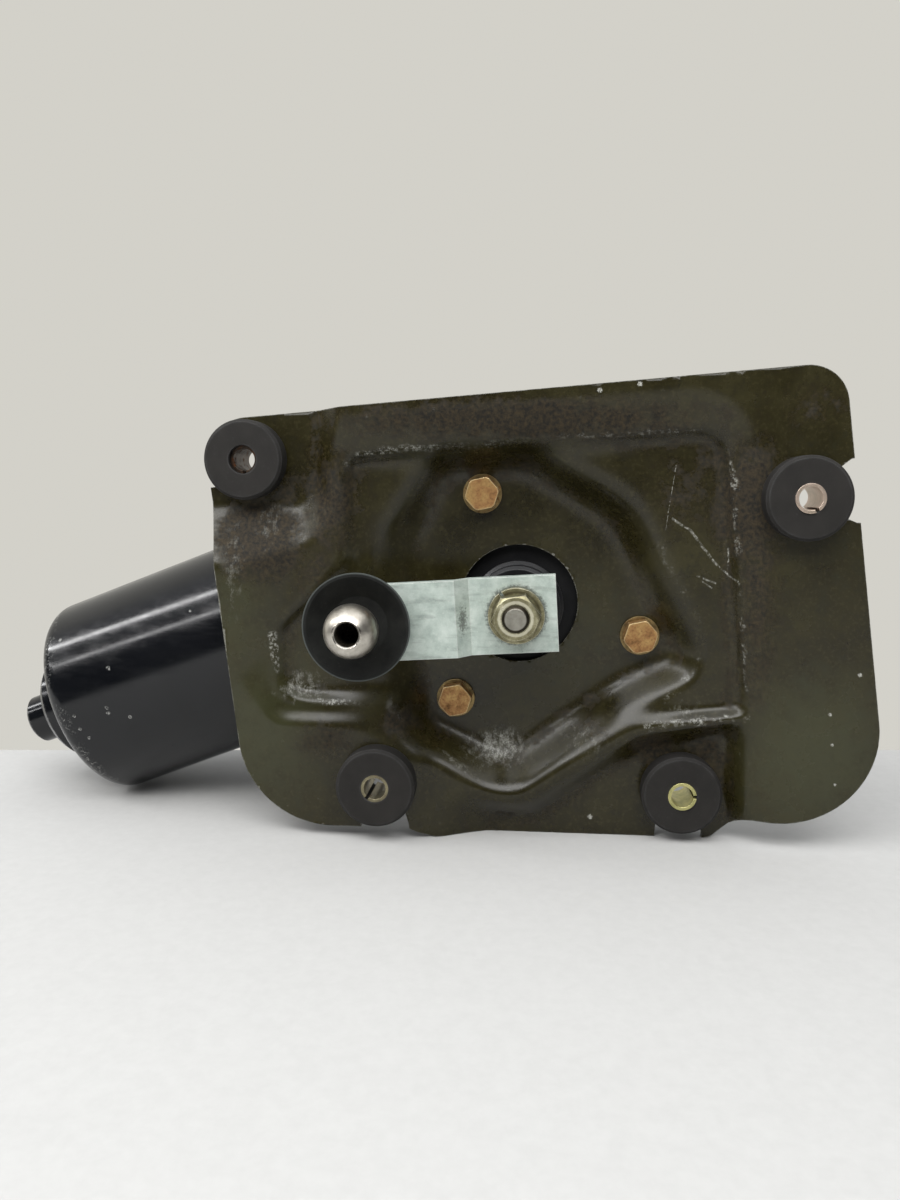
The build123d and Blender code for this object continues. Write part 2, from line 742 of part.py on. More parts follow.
with BuildPart() as tooth_gap:
    with BuildSketch(facing_front(wheel_rear_depth + cut_margin)):
        outline(*gap_section(-wheel_twist / 2))
    with BuildSketch(facing_front(wheel_front_depth - cut_margin)):
        outline(*gap_section(wheel_twist / 2))
    loft(ruled=True)

with BuildPart() as worm_wheel:
    with BuildSketch(crank_section):
        outline(
            (wheel_front_depth, wheel_seat_radius),
            (wheel_front_depth, wheel_tip_radius - wheel_chamfer),
            (wheel_front_depth + wheel_chamfer, wheel_tip_radius),
            (wheel_rear_depth - wheel_chamfer, wheel_tip_radius),
            (wheel_rear_depth, wheel_tip_radius - wheel_chamfer),
            (wheel_rear_depth, wheel_seat_radius),
        )
    revolve(axis=Axis.Y)
    for n in range(wheel_teeth):
        turn = 360 * n / wheel_teeth + degrees(gap_direction)
        add(tooth_gap.part.rotate(Axis((0, 0, 0), (0, -1, 0)), turn), mode=Mode.SUBTRACT)
finish(worm_wheel.part, "worm_wheel")

park_ring_thickness = 0.8
park_ring_inner = journal_radius + 2.2
park_ring_outer = wheel_root_radius - 0.4

with BuildPart() as park_ring:
    with BuildSketch(facing_front(wheel_rear_depth)):
        Circle(park_ring_outer)
        Circle(park_ring_inner, mode=Mode.SUBTRACT)
        with Locations((-park_ring_outer, 0)):
            Rectangle(park_gap_depth, park_gap_width, mode=Mode.SUBTRACT)
    extrude(amount=-park_ring_thickness)
finish(park_ring.part, "park_ring")

# --- crank arm, nut and ball stud -------------------------------------------------------

joggle_end = arm_joggle_start + arm_joggle
arm_end = crank_radius + arm_width / 2
arm_side = Plane(origin=(0, 0, 0), x_dir=arm_direction,
                 z_dir=arm_direction.cross(Vector(0, -1, 0)))
arm_face = Plane(origin=(0, 0, 0), x_dir=arm_direction, z_dir=(0, -1, 0))

with BuildPart() as crank_arm:
    with BuildSketch(arm_side):
        outline(
            (-arm_heel, -arm_back_depth), (-arm_heel, -arm_front_depth),
            (arm_joggle_start, -arm_front_depth), (joggle_end, -stud_front_depth),
            (arm_end, -stud_front_depth), (arm_end, -stud_back_depth),
            (joggle_end, -stud_back_depth), (arm_joggle_start, -arm_back_depth),
        )
    extrude(amount=arm_width, both=True)
    with BuildSketch(arm_face.offset(-arm_back_depth)):
        with BuildLine():
            Line((-arm_heel, -arm_width / 2), (-arm_heel, arm_width / 2))
            Line((-arm_heel, arm_width / 2), (crank_radius, arm_width / 2))
            RadiusArc((crank_radius, arm_width / 2), (crank_radius, -arm_width / 2),
                      arm_width / 2)
            Line((crank_radius, -arm_width / 2), (-arm_heel, -arm_width / 2))
        make_face()
    extrude(amount=arm_thickness + arm_joggle, mode=Mode.INTERSECT)
    with BuildSketch(crank_section):
        outline(
            (arm_front_depth, 0), (arm_front_depth, taper_small_radius),
            (arm_back_depth, taper_large_radius), (arm_back_depth, 0),
        )
    revolve(axis=Axis.Y, mode=Mode.SUBTRACT)
    with BuildSketch(ball_section):
        band(stud_front_depth, stud_back_depth, 0, ball_neck_radius)
    revolve(axis=ball_axis, mode=Mode.SUBTRACT)
finish(crank_arm.part, "crank_arm")

with BuildPart() as spring_washer:
    with BuildSketch(facing_front(arm_front_depth)):
        Circle(washer_radius)
        Circle(shaft_thread_radius + washer_bore_play, mode=Mode.SUBTRACT)
        with Locations(Location((0, 0), washer_split_angle)):
            with Locations((washer_radius, 0)):
                Rectangle(2 * washer_radius - 2, washer_split, mode=Mode.SUBTRACT)
    extrude(amount=washer_thickness)
finish(spring_washer.part, "spring_washer")

with BuildPart() as crank_nut:
    with BuildSketch(facing_front(nut_back_depth)):
        RegularPolygon(nut_flats / 2, 6, major_radius=False, rotation=nut_turn)
    extrude(amount=nut_height)
    with BuildSketch(crank_section):
        corner_reach = nut_flats * 0.6
        outline(
            (nut_front_depth, 0), (nut_front_depth, nut_flats / 2 * nut_crown),
            (nut_front_depth + nut_chamfer, corner_reach), (nut_back_depth, corner_reach),
            (nut_back_depth, 0),
        )
    revolve(axis=Axis.Y, mode=Mode.INTERSECT)
    with BuildSketch(crank_section):
        band(nut_front_depth, nut_back_depth, 0, shaft_thread_radius)
    revolve(axis=Axis.Y, mode=Mode.SUBTRACT)
finish(crank_nut.part, "crank_nut")

ball_front = ball_depth - sqrt(ball_radius ** 2 - (ball_bore_radius + ball_lip) ** 2)
ball_back = ball_depth + sqrt(ball_radius ** 2 - ball_neck_radius ** 2)

with BuildPart() as ball_stud:
    with BuildSketch(ball_section):
        with BuildLine():
            Polyline(
                (ball_back, ball_neck_radius), (stud_back_depth, ball_neck_radius),
                (stud_back_depth, stud_rivet_radius),
                (stud_back_depth + stud_rivet_height, stud_rivet_radius - stud_rivet_chamfer),
                (stud_back_depth + stud_rivet_height, 0),
                (ball_front + ball_bore_depth + ball_bore_tip, 0),
                (ball_front + ball_bore_depth, ball_bore_radius),
                (ball_front + ball_lip, ball_bore_radius),
                (ball_front, ball_bore_radius + ball_lip),
            )
            ThreePointArc((ball_front, ball_bore_radius + ball_lip), (ball_depth, ball_radius),
                          (ball_back, ball_neck_radius))
        make_face()
    revolve(axis=ball_axis)
finish(ball_stud.part, "ball_stud")

with BuildPart() as dust_cup:
    with BuildSketch(ball_section):
        outline(
            (stud_front_depth, ball_neck_radius), (stud_front_depth, cup_radius - cup_flare),
            (cup_rim_depth + cup_rim_height, cup_radius), (cup_rim_depth, cup_radius),
            (cup_rim_depth, cup_radius - cup_rim_width),
            (stud_front_depth - cup_wall, cup_radius - cup_flare - cup_wall),
            (stud_front_depth - cup_wall, ball_neck_radius),
        )
    revolve(axis=ball_axis)
finish(dust_cup.part, "dust_cup")

# --- motor can --------------------------------------------------------------------------

with BuildPart() as motor_can:
    with BuildSketch(motor_section):
        with BuildLine():
            Polyline(
                (can_mouth_run, can_inner_radius), (can_mouth_run, can_flange_radius),
                (can_mouth_run - can_flange_thickness, can_flange_radius),
                (can_mouth_run - can_flange_thickness, can_radius),
                (can_end_run + can_end_round, can_radius),
            )
            RadiusArc((can_end_run + can_end_round, can_radius),
                      (can_end_run, can_radius - can_end_round), -can_end_round)
            Polyline(
                (can_end_run, can_radius - can_end_round), (can_end_run, can_boss_radius),
                (can_boss_run + can_boss_chamfer, can_boss_radius),
                (can_boss_run, can_boss_radius - can_boss_chamfer),
                (can_boss_run, can_nose_radius),
                (can_nose_run + can_nose_chamfer, can_nose_radius),
                (can_nose_run, can_nose_radius - can_nose_chamfer), (can_nose_run, 0),
                (can_nose_run + can_wall, 0), (can_nose_run + can_wall, can_nose_radius - can_wall),
                (can_boss_run + can_wall, can_nose_radius - can_wall),
                (can_boss_run + can_wall, can_boss_radius - can_wall),
                (can_end_run + can_wall, can_boss_radius - can_wall),
                (can_end_run + can_wall, can_inner_radius - can_inner_chamfer),
                (can_end_run + can_wall + can_inner_chamfer, can_inner_radius),
                (can_mouth_run, can_inner_radius),
            )
        make_face()
    revolve(axis=motor_axis)
    with BuildSketch(across_motor(can_mouth_run)):
        with Locations(*ear_centres):
            Circle(ear_radius)
        Circle(can_radius - ear_overlap, mode=Mode.SUBTRACT)
    extrude(amount=-can_flange_thickness)
    with BuildSketch(across_motor(can_mouth_run)):
        with Locations(*ear_centres):
            Circle(can_screw_radius)
    extrude(amount=-can_flange_thickness, mode=Mode.SUBTRACT)
finish(motor_can.part, "motor_can")

screw_head_height = 3.5

with BuildPart() as can_screws:
    with BuildSketch(across_motor(can_mouth_run - can_flange_thickness)):
        with Locations(*ear_centres):
            RegularPolygon(can_screw_flats / 2, 6, major_radius=False)
    extrude(amount=-screw_head_height)
    with BuildSketch(across_motor(can_mouth_run - can_flange_thickness)):
        with Locations(*ear_centres):
            Circle(can_screw_radius)
    extrude(amount=can_screw_length - can_screw_end_gap)
finish(can_screws.part, "can_screws")

# --- field magnets and their clips ------------------------------------------------------


def field_arc(run, length, inner, outer, arc, centre):
    """Curved tile inside the can, about a direction across the motor shaft."""
    start = centre - arc / 2
    with BuildPart() as tile:
        with BuildSketch(across_motor(run - length / 2)):
            with BuildLine():
                CenterArc((0, 0), inner, start, arc)
                CenterArc((0, 0), outer, start, arc)
                for angle in (start, start + arc):
                    ray = Vector(cos(radians(angle)), sin(radians(angle)))
                    Line(ray * inner, ray * outer)
            make_face()
        extrude(amount=length)
    return tile.part


field_run = stack_centre_run + 1.0
magnets = [
    field_arc(field_run, magnet_length, magnet_inner_radius, can_inner_radius, magnet_arc, a)
    for a in (0, 180)
]
clip_length = magnet_length - clip_setback
clip_inner_radius = can_inner_radius - clip_thickness
clip_arc = 180 - magnet_arc - magnet_gap_arc
clips = [
    field_arc(field_run, clip_length, clip_inner_radius, can_inner_radius, clip_arc, a)
    for a in (90, 270)
]

with BuildPart() as field_magnets:
    add(magnets)
finish(field_magnets.part, "field_magnets")

with BuildPart() as magnet_clips:
    add(clips)
finish(magnet_clips.part, "magnet_clips")

# --- armature ---------------------------------------------------------------------------

rear_bush_run = can_boss_run + can_wall
rotor_turned_radius = rotor_shaft_radius - running_gap
rotor_rear_run = can_nose_run + can_wall + 0.6
rotor_front_run = thrust_bush_end + 0.4

# The thread starts above the motor shaft. Its crest faces the wheel, below the motor shaft,
# where the run is zero, so it starts half a turn and some whole turns before that.
thread_turns = worm_length / worm_lead
thread_shift = (thread_turns / 2 - 0.5) % 1 * worm_lead
thread_foot = motor_foot + along_motor * (thread_shift - worm_length / 2)
thread_path = Helix(
    pitch=worm_lead, height=worm_length, radius=worm_pitch_radius,
    center=tuple(thread_foot), direction=tuple(along_motor),
)
thread_start = thread_path @ 0
half_thread = (pi * module / 2 - tooth_play) / 2
crest_half = half_thread - module * tan(pressure)
thread_sink = worm_pitch_radius - worm_root_radius + 0.3
root_half = half_thread + thread_sink * tan(pressure)
relief_start = thread_shift - worm_length / 2 - worm_lead
relief_end = thread_shift + worm_length / 2 + worm_lead / 2
thread_section = Plane(
    origin=thread_start, x_dir=thread_start - thread_foot, z_dir=thread_path % 0)

with BuildPart() as worm_thread:
    with BuildSketch(thread_section):
        outline(
            (-thread_sink, -root_half), (module, -crest_half),
            (module, crest_half), (-thread_sink, root_half),
        )
    sweep(path=thread_path, is_frenet=True)

with BuildPart() as armature_shaft:
    with BuildSketch(motor_section):
        outline(
            (rotor_rear_run, 0), (rotor_rear_run, rotor_turned_radius - rotor_end_chamfer),
            (rotor_rear_run + rotor_end_chamfer, rotor_turned_radius),
            (stack_centre_run - stack_length / 2 - rotor_step_rear, rotor_turned_radius),
            (stack_centre_run - stack_length / 2 - rotor_step_rear, stack_bore_radius),
            (commutator_end_run + rotor_step_front, stack_bore_radius),
            (commutator_end_run + rotor_step_front, rotor_turned_radius),
            (relief_start, rotor_turned_radius), (relief_start, worm_root_radius),
            (relief_end, worm_root_radius), (relief_end, rotor_turned_radius),
            (rotor_front_run - rotor_end_chamfer, rotor_turned_radius),
            (rotor_front_run, rotor_turned_radius - rotor_end_chamfer), (rotor_front_run, 0),
        )
    revolve(axis=motor_axis)
    add(worm_thread.part)
finish(armature_shaft.part, "armature_shaft")

with BuildPart() as lamination_stack:
    with BuildSketch(across_motor(stack_centre_run - stack_length / 2)):
        Circle(stack_radius)
        Circle(stack_bore_radius, mode=Mode.SUBTRACT)
        with PolarLocations(stack_radius - slot_depth / 2 - slot_rim, slot_count):
            Rectangle(slot_depth, slot_width, mode=Mode.SUBTRACT)
        with PolarLocations(stack_radius, slot_count):
            Rectangle(slot_mouth_cut, slot_opening, mode=Mode.SUBTRACT)
    extrude(amount=stack_length)
finish(lamination_stack.part, "lamination_stack")

coil_inner_radius = stack_bore_radius + 3
coil_outer_radius = stack_radius - 3
coil_height = 8.0
coil_side_clearance = 0.4
stack_rear_run = stack_centre_run - stack_length / 2
stack_front_run = stack_centre_run + stack_length / 2

with BuildPart() as armature_windings:
    for face_run, outward in ((stack_rear_run, -1), (stack_front_run, 1)):
        with BuildSketch(motor_section):
            outline(
                (face_run, coil_inner_radius), (face_run, coil_outer_radius),
                (face_run + outward * coil_height * 0.6, coil_outer_radius),
                (face_run + outward * coil_height, coil_outer_radius - 4),
                (face_run + outward * coil_height, coil_inner_radius + 2),
                (face_run + outward * coil_height * 0.6, coil_inner_radius),
            )
        revolve(axis=motor_axis)
    with BuildSketch(across_motor(stack_rear_run)):
        with PolarLocations(stack_radius - slot_depth / 2 - slot_rim, slot_count):
            Rectangle(slot_depth - 2 * coil_side_clearance, slot_width - 2 * coil_side_clearance)
    extrude(amount=stack_length)
finish(armature_windings.part, "armature_windings")

bar_thickness = 3.0
commutator_rear_run = commutator_end_run - commutator_length

with BuildPart() as commutator_hub:
    with BuildSketch(motor_section):
        band(commutator_rear_run, commutator_end_run, stack_bore_radius,
             commutator_radius - bar_thickness)
    revolve(axis=motor_axis)
finish(commutator_hub.part, "commutator_hub")

with BuildPart() as commutator:
    with BuildSketch(across_motor(commutator_rear_run)):
        Circle(commutator_radius)
        Circle(commutator_radius - bar_thickness, mode=Mode.SUBTRACT)
        with PolarLocations(commutator_radius, commutator_bars):
            Rectangle(3 * bar_thickness, bar_gap, mode=Mode.SUBTRACT)
    extrude(amount=commutator_length)
finish(commutator.part, "commutator")

# --- motor bearings and end thrust ------------------------------------------------------

rear_bush_length = 9.0
rear_bush_front_run = rear_bush_run + rear_bush_length
motor_bushes = [
    ("armature_bush_rear", rear_bush_run, rear_bush_front_run),
    ("armature_bush_front", front_bush_run, front_bush_run + motor_bush_length),
    ("armature_bush_thrust", thrust_bush_run, thrust_bush_end),
]

for name, near, far in motor_bushes:
    with BuildPart() as motor_bush:
        with BuildSketch(motor_section):
            band(near, far, rotor_shaft_radius, motor_bush_radius)
        revolve(axis=motor_axis)
    finish(motor_bush.part, name)

retainer_radius = can_boss_radius - can_wall

with BuildPart() as bush_retainer:
    with BuildSketch(motor_section):
        outline(
            (rear_bush_front_run, rotor_shaft_radius + 1),
            (rear_bush_front_run, motor_bush_radius), (rear_bush_run, motor_bush_radius),
            (rear_bush_run, retainer_radius), (rear_bush_run + 1, retainer_radius),
            (rear_bush_run + 1, motor_bush_radius + 1),
            (rear_bush_front_run + 1, motor_bush_radius + 1),
            (rear_bush_front_run + 1, rotor_shaft_radius + 1),
        )
    revolve(axis=motor_axis)
finish(bush_retainer.part, "bush_retainer")

thrust_ball_radius = 2.5
ball_centre_run = rotor_front_run + face_gap + thrust_ball_radius
thrust_screw_run = ball_centre_run + thrust_ball_radius
thrust_screw_end = tunnel_end_run + thrust_screw_proud

with BuildPart() as thrust_ball:
    with Locations(motor_foot + along_motor * ball_centre_run):
        Sphere(thrust_ball_radius)
finish(thrust_ball.part, "thrust_ball")

with BuildPart() as thrust_screw:
    with BuildSketch(motor_section):
        outline(
            (thrust_screw_run, 0),
            (thrust_screw_run, thrust_thread_radius - thrust_screw_chamfer),
            (thrust_screw_run + thrust_screw_chamfer, thrust_thread_radius),
            (thrust_screw_end - thrust_screw_chamfer, thrust_thread_radius),
            (thrust_screw_end, thrust_thread_radius - thrust_screw_chamfer),
            (thrust_screw_end, 0),
        )
    revolve(axis=motor_axis)
    with BuildSketch(across_motor(thrust_screw_end)):
        Rectangle(2 * thrust_thread_radius, driver_slot_width)
    extrude(amount=-driver_slot_depth, mode=Mode.SUBTRACT)
finish(thrust_screw.part, "thrust_screw")

with BuildPart() as thrust_lock_nut:
    with BuildSketch(across_motor(tunnel_end_run)):
        RegularPolygon(lock_nut_flats / 2, 6, major_radius=False)
        Circle(thrust_thread_radius, mode=Mode.SUBTRACT)
    extrude(amount=lock_nut_height)
finish(thrust_lock_nut.part, "thrust_lock_nut")

# --- brush gear -------------------------------------------------------------------------
# Three brushes bear on the commutator: common, low speed and high speed.

brush_angles = [60, 180, 300]
brush_run = commutator_end_run - 6.0
brush_plate_run = can_mouth_run - spigot_length
brush_plate_thickness = 2.0
brush_plate_radius = can_inner_radius - 0.6
box_wall = 0.8
box_start = commutator_radius + 1.5
box_end = box_start + brush_length + 1
brush_half_width = brush_width / 2
box_front_run = brush_plate_run - brush_plate_thickness


def brush_plane(angle):
    """Plane across a brush, on the motor shaft's axis, with its normal along the brush."""
    outward = Vector(0, 1, 0) * cos(radians(angle)) + above_motor * sin(radians(angle))
    origin = motor_foot + along_motor * brush_run
    return Plane(origin=origin, x_dir=along_motor, z_dir=outward)


with BuildPart() as brush_plate:
    with BuildSketch(across_motor(box_front_run)):
        Circle(brush_plate_radius)
        Circle(commutator_radius + brush_plate_play, mode=Mode.SUBTRACT)
    extrude(amount=brush_plate_thickness)
finish(brush_plate.part, "brush_plate")

box_reach = box_front_run - brush_run

with BuildPart() as brush_boxes:
    for angle in brush_angles:
        with BuildSketch(brush_plane(angle).offset(box_start)):
            with Locations(((box_reach - brush_half_width - box_wall) / 2, 0)):
                Rectangle(box_reach + brush_half_width + box_wall, brush_width + 2 * box_wall)
            Rectangle(brush_width, brush_width, mode=Mode.SUBTRACT)
        extrude(amount=box_end - box_start)
finish(brush_boxes.part, "brush_boxes")

commutator_cut = commutator_radius + running_gap

with BuildPart() as brushes:
    for angle in brush_angles:
        with BuildSketch(brush_plane(angle)):
            Rectangle(brush_width, brush_width)
        extrude(amount=commutator_radius + brush_length)
    with BuildSketch(motor_section):
        band(brush_run - brush_width, brush_run + brush_width, 0, commutator_cut)
    revolve(axis=motor_axis, mode=Mode.SUBTRACT)
finish(brushes.part, "brushes")

# --- rear cover of the gear chamber -----------------------------------------------------

gasket_thickness = 0.8
cover_face_depth = chamber_rear_depth + gasket_thickness
cover_edge = chamber_outer_radius + 0.6


def cover_outline():
    """Round cover with an ear at each screw, in the sketch being drawn."""
    Circle(cover_edge)
    with Locations(*screw_centres):
        Circle(screw_boss_radius)
        Circle(cover_screw_radius, mode=Mode.SUBTRACT)


with BuildPart() as cover_gasket:
    with BuildSketch(facing_front(cover_face_depth)):
        cover_outline()
        Circle(chamber_radius, mode=Mode.SUBTRACT)
    extrude(amount=gasket_thickness)
finish(cover_gasket.part, "cover_gasket")

dome_height = 5.0
socket_width = 22.0
socket_height = 16.0
socket_wall = 1.6
socket_length = 15.0
socket_foot_thickness = 1.6
blade_width = 0.8
blade_height = 3.0
blade_pitch = 5.5
blade_count = 3
blade_length = 9.0
dome_depth = cover_face_depth + dome_height
dome_radius = chamber_radius + 1.0

with BuildPart() as gear_cover:
    with BuildSketch(facing_front(cover_face_depth)):
        cover_outline()
    extrude(amount=-cover_sheet)
    with BuildSketch(crank_section):
        outline(
            (cover_face_depth, 0), (cover_face_depth, dome_radius),
            (dome_depth, dome_radius - 2.5), (dome_depth + cover_sheet, dome_radius - 3.2),
            (dome_depth + cover_sheet, 0),
        )
    revolve(axis=Axis.Y)
    with BuildSketch(crank_section):
        outline(
            (cover_face_depth, 0), (cover_face_depth, dome_radius - cover_sheet),
            (dome_depth, dome_radius - cover_sheet - 2.5), (dome_depth, 0),
        )
    revolve(axis=Axis.Y, mode=Mode.SUBTRACT)
    with BuildSketch(facing_front(dome_depth)):
        Rectangle(socket_width, socket_height)
    extrude(amount=-cover_sheet, mode=Mode.SUBTRACT)
finish(gear_cover.part, "gear_cover")

with BuildPart() as cover_screws:
    with BuildSketch(facing_front(cover_face_depth + cover_sheet)):
        with Locations(*screw_centres):
            Circle(screw_boss_radius - cover_screw_head_inset)
    extrude(amount=-cover_screw_head_height, taper=cover_screw_head_draft)
    with BuildSketch(facing_front(cover_face_depth + cover_sheet)):
        with Locations(*screw_centres):
            Circle(cover_screw_radius)
    extrude(amount=cover_screw_length)
    with BuildSketch(facing_front(cover_face_depth + cover_sheet + cover_screw_head_height)):
        with Locations(*screw_centres):
            Rectangle(cross_slot_length, cross_slot_width)
            Rectangle(cross_slot_width, cross_slot_length)
    extrude(amount=cross_slot_depth, mode=Mode.SUBTRACT)
finish(cover_screws.part, "cover_screws")

# --- contact plate, park contacts, connector --------------------------------------------

contact_plate_rear = dome_depth
contact_plate_front = dome_depth - 2.0
contact_plate_radius = dome_radius - cover_sheet - 2.5
contact_radii = [park_ring_outer - 0.9, (park_ring_outer + park_ring_inner) / 2,
                 park_ring_inner + 0.6]
contact_rest = wheel_rear_depth + park_ring_thickness + face_gap
contact_sheet = 0.5
contact_width = 1.1
contact_sweep = 55.0

with BuildPart() as contact_plate:
    with BuildSketch(facing_front(contact_plate_rear)):
        Circle(contact_plate_radius - 0.2)
        with GridLocations(blade_pitch, 1, blade_count, 1):
            Rectangle(blade_width, blade_height, mode=Mode.SUBTRACT)
    extrude(amount=contact_plate_rear - contact_plate_front)
finish(contact_plate.part, "contact_plate")

contact_planes = [
    Plane(origin=(0, 0, 0), x_dir=(cos(radians(a)), 0, sin(radians(a))), z_dir=(
        sin(radians(a)), 0, -cos(radians(a)))) for a in (0, contact_sweep, -contact_sweep)
]

with BuildPart() as park_contacts:
    for radius, plane in zip(contact_radii, contact_planes):
        with BuildSketch(plane.offset(radius - contact_width / 2)):
            outline(
                (-contact_root, -contact_plate_front), (contact_tip - contact_pad, -contact_rest),
                (contact_tip, -contact_rest), (contact_tip, -contact_rest - contact_sheet),
                (contact_tip - contact_pad, -contact_rest - contact_sheet),
                (contact_pad - contact_root, -contact_plate_front),
            )
        extrude(amount=contact_width)
finish(park_contacts.part, "park_contacts")

socket_mouth = dome_depth + socket_length


def blade_pattern():
    """Sections of the connector's blades, in the sketch being drawn."""
    with GridLocations(blade_pitch, 1, blade_count, 1):
        Rectangle(blade_width, blade_height)


with BuildPart() as connector_socket:
    with BuildSketch(facing_front(socket_mouth)):
        RectangleRounded(socket_width, socket_height, socket_round)
    extrude(amount=socket_length - cover_sheet)
    with BuildSketch(facing_front(dome_depth)):
        Rectangle(socket_width, socket_height)
    extrude(amount=-cover_sheet)
    with BuildSketch(facing_front(socket_mouth)):
        RectangleRounded(socket_width - 2 * socket_wall, socket_height - 2 * socket_wall,
                         socket_inner_round)
    extrude(amount=socket_length - socket_foot_thickness, mode=Mode.SUBTRACT)
    with BuildSketch(facing_front(dome_depth)):
        blade_pattern()
    extrude(amount=-socket_foot_thickness, mode=Mode.SUBTRACT)
finish(connector_socket.part, "connector_socket")

with BuildPart() as terminal_blades:
    with BuildSketch(facing_front(contact_plate_front)):
        blade_pattern()
    extrude(amount=-blade_length)
finish(terminal_blades.part, "terminal_blades")

# --- spigot seal of the motor can -------------------------------------------------------

with BuildPart() as can_seal:
    with BuildSketch(motor_section):
        band(seal_groove_run + seal_squeeze, seal_groove_run + seal_section - seal_squeeze,
             can_inner_radius - seal_section, can_inner_radius)
    revolve(axis=motor_axis)
finish(can_seal.part, "can_seal")
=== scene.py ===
from math import ceil, cos, hypot, radians, sin, tan

import bmesh
import bpy
import numpy as np
from mathutils import Matrix, Vector
from mathutils.bvhtree import BVHTree


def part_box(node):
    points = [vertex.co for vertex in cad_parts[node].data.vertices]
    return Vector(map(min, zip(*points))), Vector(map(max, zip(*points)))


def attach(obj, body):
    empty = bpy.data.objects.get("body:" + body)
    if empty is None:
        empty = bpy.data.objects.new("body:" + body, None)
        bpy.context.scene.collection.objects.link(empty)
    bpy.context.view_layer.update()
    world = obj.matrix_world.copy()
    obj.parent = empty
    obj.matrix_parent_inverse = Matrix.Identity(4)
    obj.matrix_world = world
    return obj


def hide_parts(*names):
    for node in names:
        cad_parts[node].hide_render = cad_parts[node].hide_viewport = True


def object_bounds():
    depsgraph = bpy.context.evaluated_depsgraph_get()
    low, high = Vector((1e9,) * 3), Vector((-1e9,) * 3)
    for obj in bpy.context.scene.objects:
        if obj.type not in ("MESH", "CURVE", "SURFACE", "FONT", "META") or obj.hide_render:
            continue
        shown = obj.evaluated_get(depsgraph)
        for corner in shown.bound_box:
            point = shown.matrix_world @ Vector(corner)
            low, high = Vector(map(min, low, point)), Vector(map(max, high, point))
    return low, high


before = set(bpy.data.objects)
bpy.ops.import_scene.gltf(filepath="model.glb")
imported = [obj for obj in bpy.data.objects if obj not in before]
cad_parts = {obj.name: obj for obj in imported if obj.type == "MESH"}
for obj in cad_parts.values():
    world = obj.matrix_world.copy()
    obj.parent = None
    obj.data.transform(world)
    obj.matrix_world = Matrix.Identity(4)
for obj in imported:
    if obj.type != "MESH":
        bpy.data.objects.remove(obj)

# Looks of the wiper motor. Lengths are written in millimetres and turned into metres by MM.
# The frame's origin is on the output shaft's axis, in the plane of the bracket's flange:
# +X to the wide end of the bracket, +Y away from the crank side, +Z up.

MM = 0.001
cad_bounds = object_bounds()

# --- camera, table, room and lamps ------------------------------------------------------

CAMERA_PLACE = (6.76, -296.96, 40.4)
CAMERA_YAW = 5.4            # degrees towards -X
CAMERA_PITCH = 7.2          # degrees below level
CAMERA_LENS = 28.5          # on a sensor whose long side is SENSOR_SIZE
SENSOR_SIZE = 36.0
CLIP_START = 0.01           # metres
TABLE_DEPTH = 107.0         # where the table ends behind the shaft, square to the camera
TABLE_REACH = 2500
TABLE_ROUGHNESS = 0.7
TABLE_COLOUR = (0.51, 0.507, 0.495)
WALL_COLOUR = (0.65, 0.636, 0.585)
WALL_GLOW = 0.6             # of the wall behind the part, as light
WALL_RISE = (0.0, 0.3)      # sines of the headings between which the room turns to that wall
ROOM_COLOUR = (0.96, 0.98, 1.0)
ROOM_LOW = 0.05
ROOM_HIGH = 1.0
ROOM_RISE = (0.45, 0.95)    # sines of the heights between which the room turns from dim to pale
# Soft lamps that look at the shaft: name, place, size, watts
LAMPS = [
    ("ceiling", (60, -260, 900), (1500, 800), 3.0),
    ("front", (-60, -620, 700), (1300, 450), 9.5),
]
# Long lamps that the can's paint mirrors: name, place, direction, width, watts
TUBE_LENGTH = 900.0
TUBES = [
    ("tube_high", (-776, -165, 595), (0.72, -0.55, 0.43), 62, 2.9),
    ("tube_low", (-727, -477, 448), (0.81, -0.55, 0.20), 34, 1.3),
]
CAN_MIDDLE = (-132.0, 17.0, -11.0)


def add_camera():
    data = bpy.data.cameras.new("camera")
    data.sensor_width = SENSOR_SIZE
    data.sensor_fit = "AUTO"
    data.lens = CAMERA_LENS
    data.clip_start = CLIP_START
    obj = bpy.data.objects.new("camera", data)
    obj.location = Vector(CAMERA_PLACE) * MM
    obj.rotation_euler = (radians(90 - CAMERA_PITCH), 0, radians(CAMERA_YAW))
    bpy.context.collection.objects.link(obj)
    bpy.context.scene.camera = obj


def table_top():
    material, graph = fresh_material("table_top")
    shader = graph.principled(roughness=TABLE_ROUGHNESS, specular=0.2)
    tone = graph.ramp(graph.noise(3.0, detail=3.0), [(0.3, scaled(TABLE_COLOUR, 0.97)),
                                                     (0.7, scaled(TABLE_COLOUR, 1.02))])
    graph.link(tone, shader.inputs["Base Color"])
    return material


def add_setting():
    """The table, whose far edge runs square to the camera's heading."""
    height = cad_bounds[0][2] / MM
    drift = TABLE_REACH * tan(radians(CAMERA_YAW))
    corners = [(-TABLE_REACH, -TABLE_REACH, height), (TABLE_REACH, -TABLE_REACH, height),
               (TABLE_REACH, TABLE_DEPTH + drift, height),
               (-TABLE_REACH, TABLE_DEPTH - drift, height)]
    mesh = bpy.data.meshes.new("floor")
    mesh.from_pydata([Vector(c) * MM for c in corners], [], [(0, 1, 2, 3)])
    mesh.materials.append(table_top())
    floor = bpy.data.objects.new("floor", mesh)
    bpy.context.collection.objects.link(floor)


